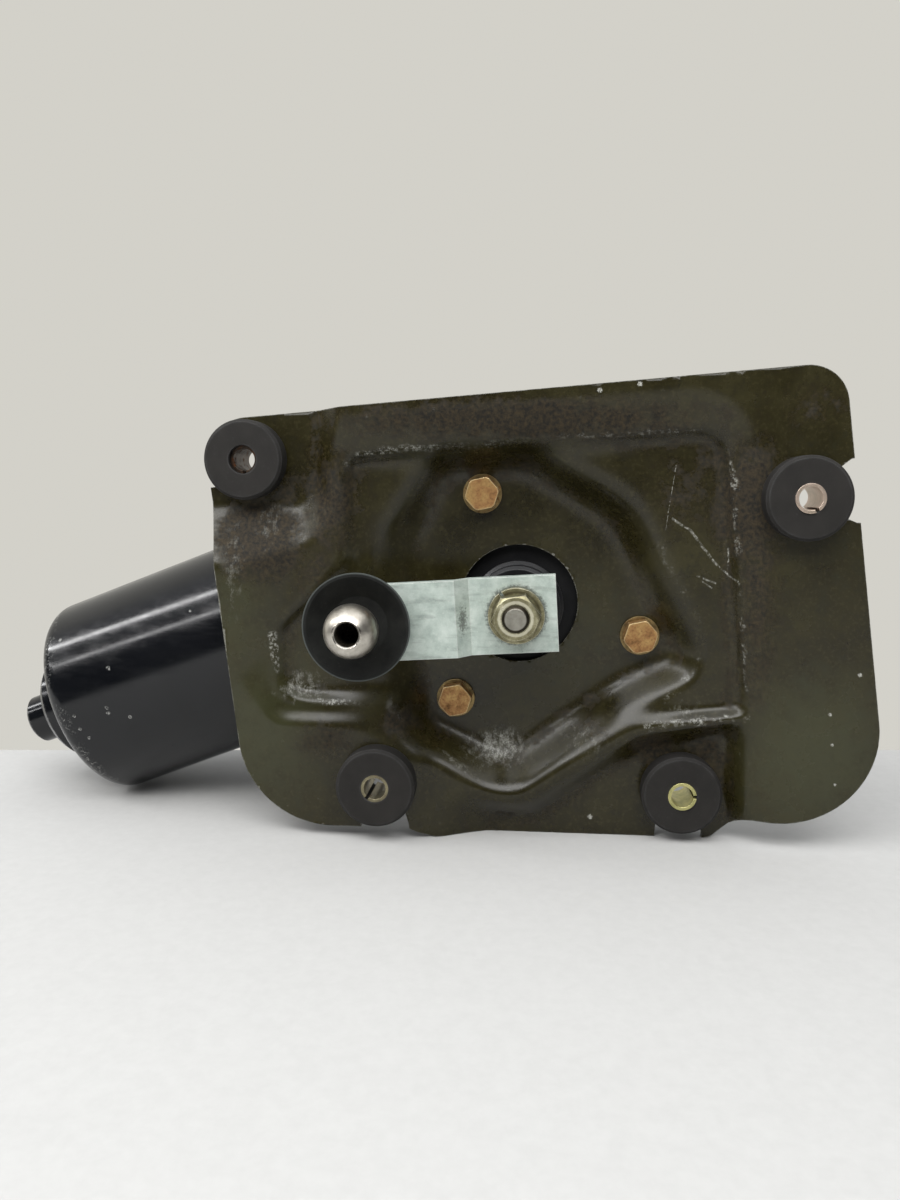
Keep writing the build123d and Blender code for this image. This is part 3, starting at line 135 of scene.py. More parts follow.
def add_world():
    """Pale wall behind the part, and before it a dim room with a pale ceiling.

    The camera, glass and, towards the wall, reflections see the wall's own colour.
    """
    world = bpy.data.worlds.new("studio")
    world.use_nodes = True
    tree = world.node_tree

    def join(operation, *sources):
        node = tree.nodes.new("ShaderNodeMath")
        node.operation = operation
        for socket, source in zip(node.inputs, sources):
            if isinstance(source, float):
                socket.default_value = source
            else:
                tree.links.new(source, socket)
        return node.outputs["Value"]

    def climb(source, start, stop, low, high):
        node = tree.nodes.new("ShaderNodeMapRange")
        tree.links.new(source, node.inputs["Value"])
        for name, value in (("From Min", start), ("From Max", stop),
                            ("To Min", low), ("To Max", high)):
            node.inputs[name].default_value = value
        return node.outputs["Result"]

    parts = tree.nodes.new("ShaderNodeSeparateXYZ")
    direction = tree.nodes.new("ShaderNodeTexCoord").outputs["Generated"]
    tree.links.new(direction, parts.inputs["Vector"])
    behind = climb(parts.outputs["Y"], *WALL_RISE, 0.0, 1.0)
    ceiling = climb(parts.outputs["Z"], *ROOM_RISE, ROOM_LOW, ROOM_HIGH)
    room = tree.nodes["Background"]
    room.inputs["Color"].default_value = (*ROOM_COLOUR, 1)
    tree.links.new(join("MAXIMUM", ceiling, join("MULTIPLY", behind, WALL_GLOW)),
                   room.inputs["Strength"])

    wall = tree.nodes.new("ShaderNodeBackground")
    wall.inputs["Color"].default_value = (*WALL_COLOUR, 1)
    rays = tree.nodes.new("ShaderNodeLightPath").outputs
    seen = join("MAXIMUM", rays["Is Camera Ray"], rays["Is Transmission Ray"])
    mirrored = join("MULTIPLY", rays["Is Glossy Ray"], behind)
    both = tree.nodes.new("ShaderNodeMixShader")
    tree.links.new(join("MAXIMUM", seen, mirrored), both.inputs["Fac"])
    tree.links.new(room.outputs["Background"], both.inputs[1])
    tree.links.new(wall.outputs["Background"], both.inputs[2])
    tree.links.new(both.outputs["Shader"], tree.nodes["World Output"].inputs["Surface"])
    bpy.context.scene.world = world


def area_light(name, place, turn, size, watts):
    """Rectangular soft lamp with a place, a rotation and a size in millimetres."""
    data = bpy.data.lights.new(name, "AREA")
    data.shape = "RECTANGLE"
    data.size, data.size_y = size[0] * MM, size[1] * MM
    data.energy = watts
    obj = bpy.data.objects.new(name, data)
    obj.location = Vector(place) * MM
    obj.rotation_euler = turn
    bpy.context.collection.objects.link(obj)


def add_light():
    for name, place, size, watts in LAMPS:
        turn = (-Vector(place)).to_track_quat("-Z", "Y").to_euler()
        area_light(name, place, turn, size, watts)
    for name, place, along, width, watts in TUBES:
        ahead = (Vector(CAN_MIDDLE) - Vector(place)).normalized()
        side = ahead.cross(Vector(along)).normalized()
        turn = Matrix((ahead.cross(side), side, -ahead)).transposed().to_euler()
        area_light(name, place, turn, (TUBE_LENGTH, width), watts)


# --- materials --------------------------------------------------------------------------

# Places and radii on the crank that its marks go by: x and z in front of the flange
BALL_PLACE = (-47.0, -2.8)
BALL_BORE = 3.45
CUP_RIM = 16.2
ARM_BEND = (-16.0, -1.5)
NUT_STAIN = (7.9, 9.1)      # dark ring that the nut left on the arm
NUT_BORE = (4.4, 5.3)       # bright ring round the bore of the nut
NUT_SEAT = (6.9, 7.5)       # dirt between the nut and its washer
SHAFT_RIM = (3.0, 3.35)     # bright end of the shaft, inside its thread
THREAD_END = -12.0          # depth at which the shaft's thread starts
THREAD_PITCH = 1.0
WAVES_PER_UNIT = 3.18       # bands of a Wave Texture of scale 1
# The can, whose axis falls towards -X by MOTOR_TILT
MOTOR_TILT = radians(21.0)
CAN_RIM = (160.5, 165.5)    # of the closed end's round edge, along the axis from the shaft
FLECK_RAGGED = 1.6          # swing of a bare spot's edge, in reaches
BLOB_GRAIN = 0.45           # size of the noise in a mark's edge, in reaches
SCRATCH_SWAY = 0.8          # swing of a scratch to its sides
RUST_COLOUR = (0.16, 0.062, 0.022)


def scaled(colour, factor):
    return tuple(min(1.0, c * factor) for c in colour)


class Graph:
    """Short names for the shader nodes of one material."""

    def __init__(self, tree):
        self.tree = tree
        self.coordinates = self.add("ShaderNodeTexCoord").outputs["Object"]

    def add(self, kind, **settings):
        node = self.tree.nodes.new(kind)
        for key, value in settings.items():
            setattr(node, key, value)
        return node

    def link(self, source, target):
        self.tree.links.new(source, target)

    def feed(self, socket, value):
        """Put a number, a colour or another socket into an input."""
        if isinstance(value, bpy.types.NodeSocket):
            self.link(value, socket)
        elif isinstance(value, (tuple, list)) and len(value) == 3 and socket.type == "RGBA":
            socket.default_value = (*value, 1)
        else:
            socket.default_value = value

    def principled(self, roughness, metallic=0.0, specular=0.5, coat=0.0, coat_roughness=0.1):
        shader = self.add("ShaderNodeBsdfPrincipled")
        shader.inputs["Metallic"].default_value = metallic
        shader.inputs["Roughness"].default_value = roughness
        shader.inputs["Specular IOR Level"].default_value = specular
        shader.inputs["Coat Weight"].default_value = coat
        shader.inputs["Coat Roughness"].default_value = coat_roughness
        output = self.add("ShaderNodeOutputMaterial")
        self.link(shader.outputs["BSDF"], output.inputs["Surface"])
        return shader

    def stretched(self, scale):
        """Object coordinates scaled along each axis, for grain with a direction."""
        mapping = self.add("ShaderNodeMapping")
        mapping.inputs["Scale"].default_value = scale
        self.link(self.coordinates, mapping.inputs["Vector"])
        return mapping.outputs["Vector"]

    def noise(self, size, detail=4.0, roughness=0.55, distortion=0.0, at=None):
        """Cloudy noise whose blotches are about size millimetres wide."""
        node = self.add("ShaderNodeTexNoise")
        node.inputs["Scale"].default_value = 1 / (size * MM)
        node.inputs["Detail"].default_value = detail
        node.inputs["Roughness"].default_value = roughness
        node.inputs["Distortion"].default_value = distortion
        self.link(at or self.coordinates, node.inputs["Vector"])
        return node.outputs["Fac"]

    def ramp(self, factor, stops):
        """Colour between stops, each a place from 0 to 1 with its colour."""
        node = self.add("ShaderNodeValToRGB")
        elements = node.color_ramp.elements
        while len(elements) < len(stops):
            elements.new(0.5)
        for element, (place, colour) in zip(elements, stops):
            element.position = place
            element.color = (*colour, 1)
        self.link(factor, node.inputs["Fac"])
        return node.outputs["Color"]

    def span(self, value, low, high, out_low=0.0, out_high=1.0):
        """Stretch of a value between two limits, clamped."""
        node = self.add("ShaderNodeMapRange")
        node.inputs["From Min"].default_value = low
        node.inputs["From Max"].default_value = high
        node.inputs["To Min"].default_value = out_low
        node.inputs["To Max"].default_value = out_high
        self.link(value, node.inputs["Value"])
        return node.outputs["Result"]

    def math(self, operation, a, b=0.0):
        node = self.add("ShaderNodeMath", operation=operation)
        self.feed(node.inputs[0], a)
        self.feed(node.inputs[1], b)
        return node.outputs["Value"]

    def swing(self, noise, size, middle=0.5):
        """A noise that swings about 0 by a size, in place of about its middle."""
        return self.math("MULTIPLY", self.math("SUBTRACT", noise, middle), size)

    def mix(self, factor, a, b):
        node = self.add("ShaderNodeMix", data_type="RGBA")
        self.feed(node.inputs["Factor"], factor)
        self.feed(node.inputs["A"], a)
        self.feed(node.inputs["B"], b)
        return node.outputs["Result"]

    def attribute(self, name):
        return self.add("ShaderNodeAttribute", attribute_name=name).outputs["Fac"]

    def xyz(self):
        node = self.add("ShaderNodeSeparateXYZ")
        self.link(self.coordinates, node.inputs["Vector"])
        return node.outputs

    def from_axis(self, x, z, reach=1.0, stretch=1.0):
        """Distance from a line along the depth, in reaches; stretch is height over width."""
        across, _, up = self.xyz()
        dx = self.math("MULTIPLY", self.math("SUBTRACT", across, x * MM), 1 / (reach * MM))
        dz = self.math("MULTIPLY", self.math("SUBTRACT", up, z * MM), 1 / (reach * stretch * MM))
        return self.math("SQRT", self.math("ADD", self.math("POWER", dx, 2.0),
                                           self.math("POWER", dz, 2.0)))

    def near(self, place, reach):
        """1 round a point of the surface, with a ragged edge at reach millimetres."""
        apart = self.add("ShaderNodeVectorMath", operation="DISTANCE")
        self.link(self.coordinates, apart.inputs[0])
        apart.inputs[1].default_value = Vector(place) * MM
        far = self.math("MULTIPLY", apart.outputs["Value"], 1 / (reach * MM))
        edge = self.swing(self.noise(reach, 4), FLECK_RAGGED)
        return self.span(self.math("ADD", far, edge), 1.0, 0.8)

    def ring(self, distance, inner, outer, soft):
        """1 where a distance is between two values, fading over soft at each."""
        return self.math("MULTIPLY", self.span(distance, inner - soft, inner + soft),
                         self.span(distance, outer + soft, outer - soft))

    def blob(self, x, z, reach, soft, ragged, stretch=1.0):
        """1 round a line along the depth, fading out raggedly at reach millimetres."""
        far = self.from_axis(x, z, reach, stretch)
        edge = self.swing(self.noise(reach * BLOB_GRAIN, 5), 2 * ragged)
        return self.span(self.math("ADD", far, edge), 1.0, 1.0 - soft)

    def scratch(self, start, end, width):
        """1 along a thin broken line between two places (x, z); width is to each side."""
        (x, z), (x1, z1) = start, end
        length = hypot(x1 - x, z1 - z)
        ux, uz = (x1 - x) / length, (z1 - z) / length
        across, _, up = self.xyz()
        dx = self.math("SUBTRACT", across, x * MM)
        dz = self.math("SUBTRACT", up, z * MM)
        along = self.math("ADD", self.math("MULTIPLY", dx, ux), self.math("MULTIPLY", dz, uz))
        beside = self.math("SUBTRACT", self.math("MULTIPLY", dx, uz),
                           self.math("MULTIPLY", dz, ux))
        sway = self.swing(self.noise(4, 3), SCRATCH_SWAY * MM)
        off = self.math("ABSOLUTE", self.math("ADD", beside, sway))
        inside = self.math("LESS_THAN", self.math("ABSOLUTE", self.math(
            "SUBTRACT", along, length / 2 * MM)), length / 2 * MM)
        line = self.span(off, width * MM, width * 0.4 * MM)
        broken = self.span(self.noise(1.1, 3), 0.40, 0.50)
        return self.math("MULTIPLY", self.math("MULTIPLY", line, inside), broken)

    def round_edges(self, radius):
        """Normal that rounds sharp edges by a radius in millimetres."""
        node = self.add("ShaderNodeBevel", samples=4)
        node.inputs["Radius"].default_value = radius * MM
        return node.outputs["Normal"]

    def complete(self, shader, tone, height, strength, distance, radius):
        """Give a shader its colour, and a fine bump on edges rounded by a radius."""
        self.link(tone, shader.inputs["Base Color"])
        node = self.add("ShaderNodeBump")
        node.inputs["Strength"].default_value = strength
        node.inputs["Distance"].default_value = distance * MM
        self.link(height, node.inputs["Height"])
        self.link(self.round_edges(radius), node.inputs["Normal"])
        self.link(node.outputs["Normal"], shader.inputs["Normal"])

    def edge_mask(self, radius):
        """About 1 on sharp convex and concave edges, 0 on flat stretches."""
        rounded = self.round_edges(radius)
        flat = self.add("ShaderNodeNewGeometry").outputs["Normal"]
        product = self.add("ShaderNodeVectorMath", operation="DOT_PRODUCT")
        self.link(rounded, product.inputs[0])
        self.link(flat, product.inputs[1])
        return self.span(product.outputs["Value"], 0.99, 0.85)


def fresh_material(name):
    material = bpy.data.materials.new(name)
    material.use_nodes = True
    material.node_tree.nodes.clear()
    return material, Graph(material.node_tree)


def highest(graph, masks):
    """The largest of several masks."""
    top = masks[0]
    for mask in masks[1:]:
        top = graph.math("MAXIMUM", top, mask)
    return top


def rubber(name):
    """Dusty black rubber whose pale edges are partly dust and partly a painted rim highlight."""
    colour = (0.0165, 0.015, 0.0135)
    material, graph = fresh_material(name)
    shader = graph.principled(roughness=0.75, specular=0.28)
    cloud = graph.noise(7, detail=5)
    speck = graph.noise(0.7, detail=3)
    tone = graph.ramp(cloud, [(0.3, scaled(colour, 0.85)), (0.7, scaled(colour, 1.25))])
    dust = graph.span(speck, 0.62, 0.8, 0.0, 0.35)
    tone = graph.mix(dust, tone, (0.05, 0.051, 0.052))
    # Pale edges: partly dust, partly a painted highlight along the rounded rim.
    rim = graph.math("MULTIPLY", graph.edge_mask(0.9), graph.span(cloud, 0.35, 0.7, 0.1, 0.6))
    tone = graph.mix(rim, tone, (0.10, 0.103, 0.105))
    graph.complete(shader, tone, speck, 0.25, 0.08, 0.5)
    return material


def zinc(name, light, dark, rust=0.0):
    """Passivated steel with cloudy patches and, where wanted, some rust."""
    roughness, patch = 0.38, 4.0
    material, graph = fresh_material(name)
    shader = graph.principled(metallic=0.85, roughness=roughness)
    cloud = graph.noise(patch, detail=6, roughness=0.65)
    fine = graph.noise(patch / 6, detail=4)
    tone = graph.ramp(cloud, [(0.32, dark), (0.68, light)])
    tone = graph.mix(graph.span(fine, 0.55, 0.75, 0.0, 0.35), tone, scaled(dark, 0.6))
    if rust:
        spots = graph.noise(patch * 0.7, detail=8, roughness=0.75, distortion=0.6)
        covered = graph.span(spots, 0.62 - rust * 0.2, 0.70 - rust * 0.15)
        tone = graph.mix(covered, tone, RUST_COLOUR)
        graph.link(graph.span(covered, 0, 1, roughness, 0.85), shader.inputs["Roughness"])
    worn = graph.math("MULTIPLY", graph.edge_mask(0.35), 0.5)
    tone = graph.mix(worn, tone, scaled(light, 1.25))
    graph.complete(shader, tone, fine, 0.15, 0.05, 0.3)
    return material


def bolt_zinc(name):
    """Yellow zinc of the bolt heads: rusted faces inside bright corners."""
    material, graph = fresh_material(name)
    shader = graph.principled(metallic=0.75, roughness=0.45)
    cloud = graph.noise(3.5, detail=7, roughness=0.72)
    fine = graph.noise(0.7, detail=4)
    tone = graph.ramp(cloud, [(0.30, (0.13, 0.062, 0.022)), (0.48, (0.36, 0.19, 0.075)),
                              (0.66, (0.52, 0.34, 0.13))])
    tone = graph.mix(graph.span(fine, 0.55, 0.70, 0.0, 0.6), tone, (0.10, 0.048, 0.020))
    corners = graph.math("MULTIPLY", graph.edge_mask(0.7), graph.span(cloud, 0.25, 0.5, 0.4, 1.0))
    tone = graph.mix(corners, tone, (0.72, 0.60, 0.34))
    graph.link(graph.span(cloud, 0.3, 0.7, 0.62, 0.32), shader.inputs["Roughness"])
    graph.complete(shader, tone, fine, 0.3, 0.08, 0.35)
    return material


def black_plastic(name, colour=(0.014, 0.014, 0.015), roughness=0.55):
    """Plain moulded or pressed stuff of one colour, paler on its edges."""
    material, graph = fresh_material(name)
    shader = graph.principled(roughness=roughness, specular=0.4)
    cloud = graph.noise(6, detail=5)
    tone = graph.ramp(cloud, [(0.35, scaled(colour, 0.8)), (0.7, scaled(colour, 1.35))])
    rim = graph.math("MULTIPLY", graph.edge_mask(0.6), 0.35)
    tone = graph.mix(rim, tone, (0.12, 0.12, 0.12))
    graph.complete(shader, tone, graph.noise(0.5), 0.12, 0.05, 0.3)
    return material


# Small bare spots on the can: x, y and z of the place, and reach
FLECKS = [
    (-141.1, 12.8, -24.0, 0.9), (-141.5, 11.5, -37.8, 0.7), (-141.3, 11.7, -39.6, 0.7),
    (-133.7, 12.4, -41.0, 0.8), (-151.8, 11.9, -45.6, 0.7), (-149.2, 12.9, -49.0, 0.7),
    (-112.5, 16.3, -4.2, 0.5), (-162.5, 21.6, -16.0, 0.8), (-153.5, 11.4, -40.9, 0.6),
]


def can_paint(name):
    """Gloss black paint with flecks, and chips round the rim of the closed end."""
    material, graph = fresh_material(name)
    shader = graph.principled(roughness=0.16, specular=0.4, coat=0.12, coat_roughness=0.08)
    cloud = graph.noise(30, detail=4)
    tone = graph.ramp(cloud, [(0.3, (0.0025, 0.003, 0.004)), (0.7, (0.006, 0.0065, 0.008))])
    chip = graph.noise(1.1, detail=6, roughness=0.75)
    across, _, up = graph.xyz()
    run = graph.math("ADD", graph.math("MULTIPLY", across, cos(MOTOR_TILT)),
                     graph.math("MULTIPLY", up, sin(MOTOR_TILT)))
    rim = graph.ring(graph.math("MULTIPLY", run, -1 / MM), *CAN_RIM, 1.5)
    patchy = graph.span(graph.noise(9, 3), 0.40, 0.60)
    rim_chips = graph.math("MULTIPLY", graph.math("MULTIPLY", rim, patchy),
                           graph.span(chip, 0.54, 0.60))
    edges = graph.math("MULTIPLY", graph.edge_mask(1.0), graph.span(chip, 0.50, 0.58))
    spots = highest(graph, [graph.near((x, y, z), reach) for x, y, z, reach in FLECKS])
    ragged = graph.span(graph.noise(0.8, 4, 0.8), 0.44, 0.54)
    worn = highest(graph, [rim_chips, edges, graph.math("MULTIPLY", spots, ragged)])
    tone = graph.mix(worn, tone, (0.26, 0.26, 0.245))
    scuff = graph.noise(6, detail=6, roughness=0.8, at=graph.stretched((0.4, 1.0, 1.4)))
    graph.link(graph.span(scuff, 0.35, 0.72, 0.10, 0.30), shader.inputs["Roughness"])
    graph.complete(shader, tone, graph.noise(2.5, detail=2), 0.10, 0.06, 0.8)
    return material


def bare_metal(name, colour, roughness=0.3, grain=0.4):
    """Uncoated metal with a fine grain."""
    material, graph = fresh_material(name)
    shader = graph.principled(metallic=1.0, roughness=roughness)
    cloud = graph.noise(5, detail=5)
    fine = graph.noise(grain, detail=3)
    tone = graph.ramp(cloud, [(0.3, scaled(colour, 0.82)), (0.7, scaled(colour, 1.08))])
    graph.link(graph.span(fine, 0.3, 0.7, roughness * 0.75, roughness * 1.3),
               shader.inputs["Roughness"])
    graph.complete(shader, tone, fine, 0.12, 0.03, 0.25)
    return material


def casting(name):
    """Die-cast housing under satin black paint, with the casting's skin showing through."""
    material, graph = fresh_material(name)
    shader = graph.principled(roughness=0.42, specular=0.15)
    cloud = graph.noise(12, detail=6)
    skin = graph.noise(0.9, detail=4, roughness=0.6)
    tone = graph.ramp(cloud, [(0.3, (0.005, 0.005, 0.0055)), (0.7, (0.011, 0.011, 0.0115))])
    tone = graph.mix(graph.span(skin, 0.58, 0.75, 0.0, 0.3), tone, (0.030, 0.029, 0.027))
    worn = graph.math("MULTIPLY", graph.edge_mask(0.5), graph.span(cloud, 0.5, 0.6))
    tone = graph.mix(worn, tone, (0.30, 0.30, 0.29))
    graph.complete(shader, tone, skin, 0.3, 0.12, 0.8)
    return material


def arm_zinc(name):
    """Pale blue-green zinc of the crank arm: mottled, scuffed at the bend, stained at the nut."""
    material, graph = fresh_material(name)
    shader = graph.principled(metallic=0.15, roughness=0.40)
    cloud = graph.noise(5, detail=7, roughness=0.7)
    streak = graph.noise(3, detail=5, at=graph.stretched((0.35, 1, 1.6)))
    fine = graph.noise(0.6, detail=4)
    tone = graph.ramp(cloud, [(0.28, (0.31, 0.37, 0.335)), (0.5, (0.45, 0.52, 0.47)),
                              (0.72, (0.58, 0.64, 0.59))])
    tone = graph.mix(graph.span(streak, 0.54, 0.70, 0.0, 0.5), tone, (0.19, 0.22, 0.20))
    tone = graph.mix(graph.span(fine, 0.58, 0.70, 0.0, 0.35), tone, (0.62, 0.64, 0.59))
    scuffs = graph.noise(1.6, detail=6, roughness=0.8, at=graph.stretched((1.0, 1.0, 0.5)))
    tone = graph.mix(graph.span(scuffs, 0.63, 0.72, 0.0, 0.7), tone, (0.07, 0.075, 0.065))
    from_shaft = graph.from_axis(0, 0)
    ragged = graph.math("ADD", from_shaft, graph.swing(graph.noise(1.3, 6, 0.85), 6.0))
    stain = graph.math("MULTIPLY", graph.ring(ragged, *NUT_STAIN, 0.5), 0.8)
    bend = graph.math("MULTIPLY", graph.blob(*ARM_BEND, 1.5, 0.7, 1.3, 3.4), 0.7)
    tone = graph.mix(graph.math("MAXIMUM", stain, bend), tone, (0.055, 0.058, 0.048))
    worn = graph.math("MULTIPLY", graph.edge_mask(0.5), 0.8)
    tone = graph.mix(worn, tone, (0.70, 0.71, 0.67))
    graph.link(graph.span(streak, 0.3, 0.7, 0.34, 0.5), shader.inputs["Roughness"])
    graph.complete(shader, tone, fine, 0.2, 0.05, 0.35)
    return material


def ball_nickel(name):
    """Satin nickel of the ball, with painted shade inside its bore and a glossy lip round it."""
    material, graph = fresh_material(name)
    shader = graph.principled(metallic=1.0, roughness=0.34)
    cloud = graph.noise(3.5, detail=6, roughness=0.65)
    fine = graph.noise(0.5, detail=3)
    tone = graph.ramp(cloud, [(0.3, (0.40, 0.37, 0.32)), (0.65, (0.66, 0.625, 0.56))])
    from_ball = graph.from_axis(*BALL_PLACE)
    # Painted shade: inside the bore the colour turns nearly black, with a little grain.
    bore = graph.span(from_ball, BALL_BORE + 0.25, BALL_BORE)
    lip = graph.ring(from_ball, BALL_BORE + 0.3, BALL_BORE + 0.8, 0.15)
    tone = graph.mix(bore, tone, graph.ramp(fine, [(0.4, (0.010, 0.009, 0.007)),
                                                   (0.7, (0.10, 0.085, 0.06))]))
    rough = graph.span(fine, 0.3, 0.7, 0.28, 0.42)
    graph.link(graph.mix(lip, graph.mix(bore, rough, (0.8, 0.8, 0.8)), (0.2, 0.2, 0.2)),
               shader.inputs["Roughness"])
    graph.complete(shader, tone, fine, 0.12, 0.03, 0.25)
    return material


def cup_plastic(name):
    """Matte black dust cup with a thin pale rim."""
    material, graph = fresh_material(name)
    shader = graph.principled(roughness=0.62, specular=0.15)
    cloud = graph.noise(5, detail=5)
    tone = graph.ramp(cloud, [(0.3, (0.008, 0.0085, 0.008)), (0.7, (0.016, 0.0165, 0.015))])
    dust = graph.span(graph.noise(0.8, 4, 0.7), 0.60, 0.74, 0.0, 0.4)
    tone = graph.mix(dust, tone, (0.05, 0.05, 0.045))
    rim = graph.span(graph.from_axis(*BALL_PLACE), CUP_RIM - 0.5, CUP_RIM - 0.2)
    tone = graph.mix(graph.math("MULTIPLY", rim, 0.8), tone, (0.085, 0.095, 0.09))
    graph.complete(shader, tone, graph.noise(0.5), 0.12, 0.05, 0.3)
    return material


def shaft_end(name):
    """Steel of the output shaft: a bright end inside painted shade on the turns of its thread."""
    material, graph = fresh_material(name)
    shader = graph.principled(metallic=1.0, roughness=0.42)
    cloud = graph.noise(2.5, detail=5)
    tone = graph.ramp(cloud, [(0.3, (0.27, 0.26, 0.22)), (0.7, (0.45, 0.43, 0.375))])
    _, depth, _ = graph.xyz()
    threaded = graph.span(depth, THREAD_END * MM, (THREAD_END - 0.5) * MM)
    rim = graph.span(graph.from_axis(0, 0), *SHAFT_RIM)
    # Painted shade: the threaded part outside the bright end is darkened.
    tone = graph.mix(graph.math("MULTIPLY", threaded, rim), tone, (0.035, 0.030, 0.022))
    turns = graph.add("ShaderNodeTexWave", bands_direction="Y")
    turns.inputs["Scale"].default_value = 1 / (THREAD_PITCH * MM) / WAVES_PER_UNIT
    graph.link(graph.coordinates, turns.inputs["Vector"])
    height = graph.math("MULTIPLY", turns.outputs["Fac"], threaded)
    graph.complete(shader, tone, height, 0.5, 0.4, 0.25)
    return material


def nut_zinc(name):
    """Olive-gold zinc of the nut and its washer, worn bright on its edges, with a bright ring
    round the bore and painted shade just inside that ring.
    """
    material, graph = fresh_material(name)
    shader = graph.principled(metallic=0.8, roughness=0.32)
    cloud = graph.noise(2.6, detail=6, roughness=0.68)
    fine = graph.noise(0.6, detail=4)
    tone = graph.ramp(cloud, [(0.3, (0.13, 0.115, 0.06)), (0.52, (0.27, 0.25, 0.145)),
                              (0.7, (0.52, 0.49, 0.33))])
    from_shaft = graph.math("ADD", graph.from_axis(0, 0), graph.swing(fine, 0.5))
    bright = graph.ring(from_shaft, *NUT_BORE, 0.15)
    # Dark ring at the seat between nut and washer, and painted shade on the face just inside the
    # bright ring round the bore.
    dirt_and_bore_shade = graph.math("MAXIMUM", graph.ring(from_shaft, *NUT_SEAT, 0.3),
                      graph.span(from_shaft, 4.35, 4.1))
    tone = graph.mix(graph.math("MULTIPLY", dirt_and_bore_shade, 0.75), tone, (0.07, 0.06, 0.035))
    # Bright on the worn edges and in the ring round the bore.
    worn = graph.math("MAXIMUM", graph.edge_mask(0.4), bright)
    tone = graph.mix(graph.math("MULTIPLY", worn, 0.7), tone, (0.80, 0.77, 0.60))
    graph.link(graph.span(cloud, 0.3, 0.7, 0.45, 0.26), shader.inputs["Roughness"])
    graph.complete(shader, tone, fine, 0.2, 0.06, 0.3)
    return material


def nylon(name):
    """Ivory nylon of the worm wheel."""
    material, graph = fresh_material(name)
    shader = graph.principled(roughness=0.45, specular=0.45)
    tone = graph.ramp(graph.noise(6), [(0.3, (0.66, 0.62, 0.5)), (0.7, (0.74, 0.7, 0.58))])
    graph.complete(shader, tone, graph.noise(0.6), 0.1, 0.05, 0.2)
    return material


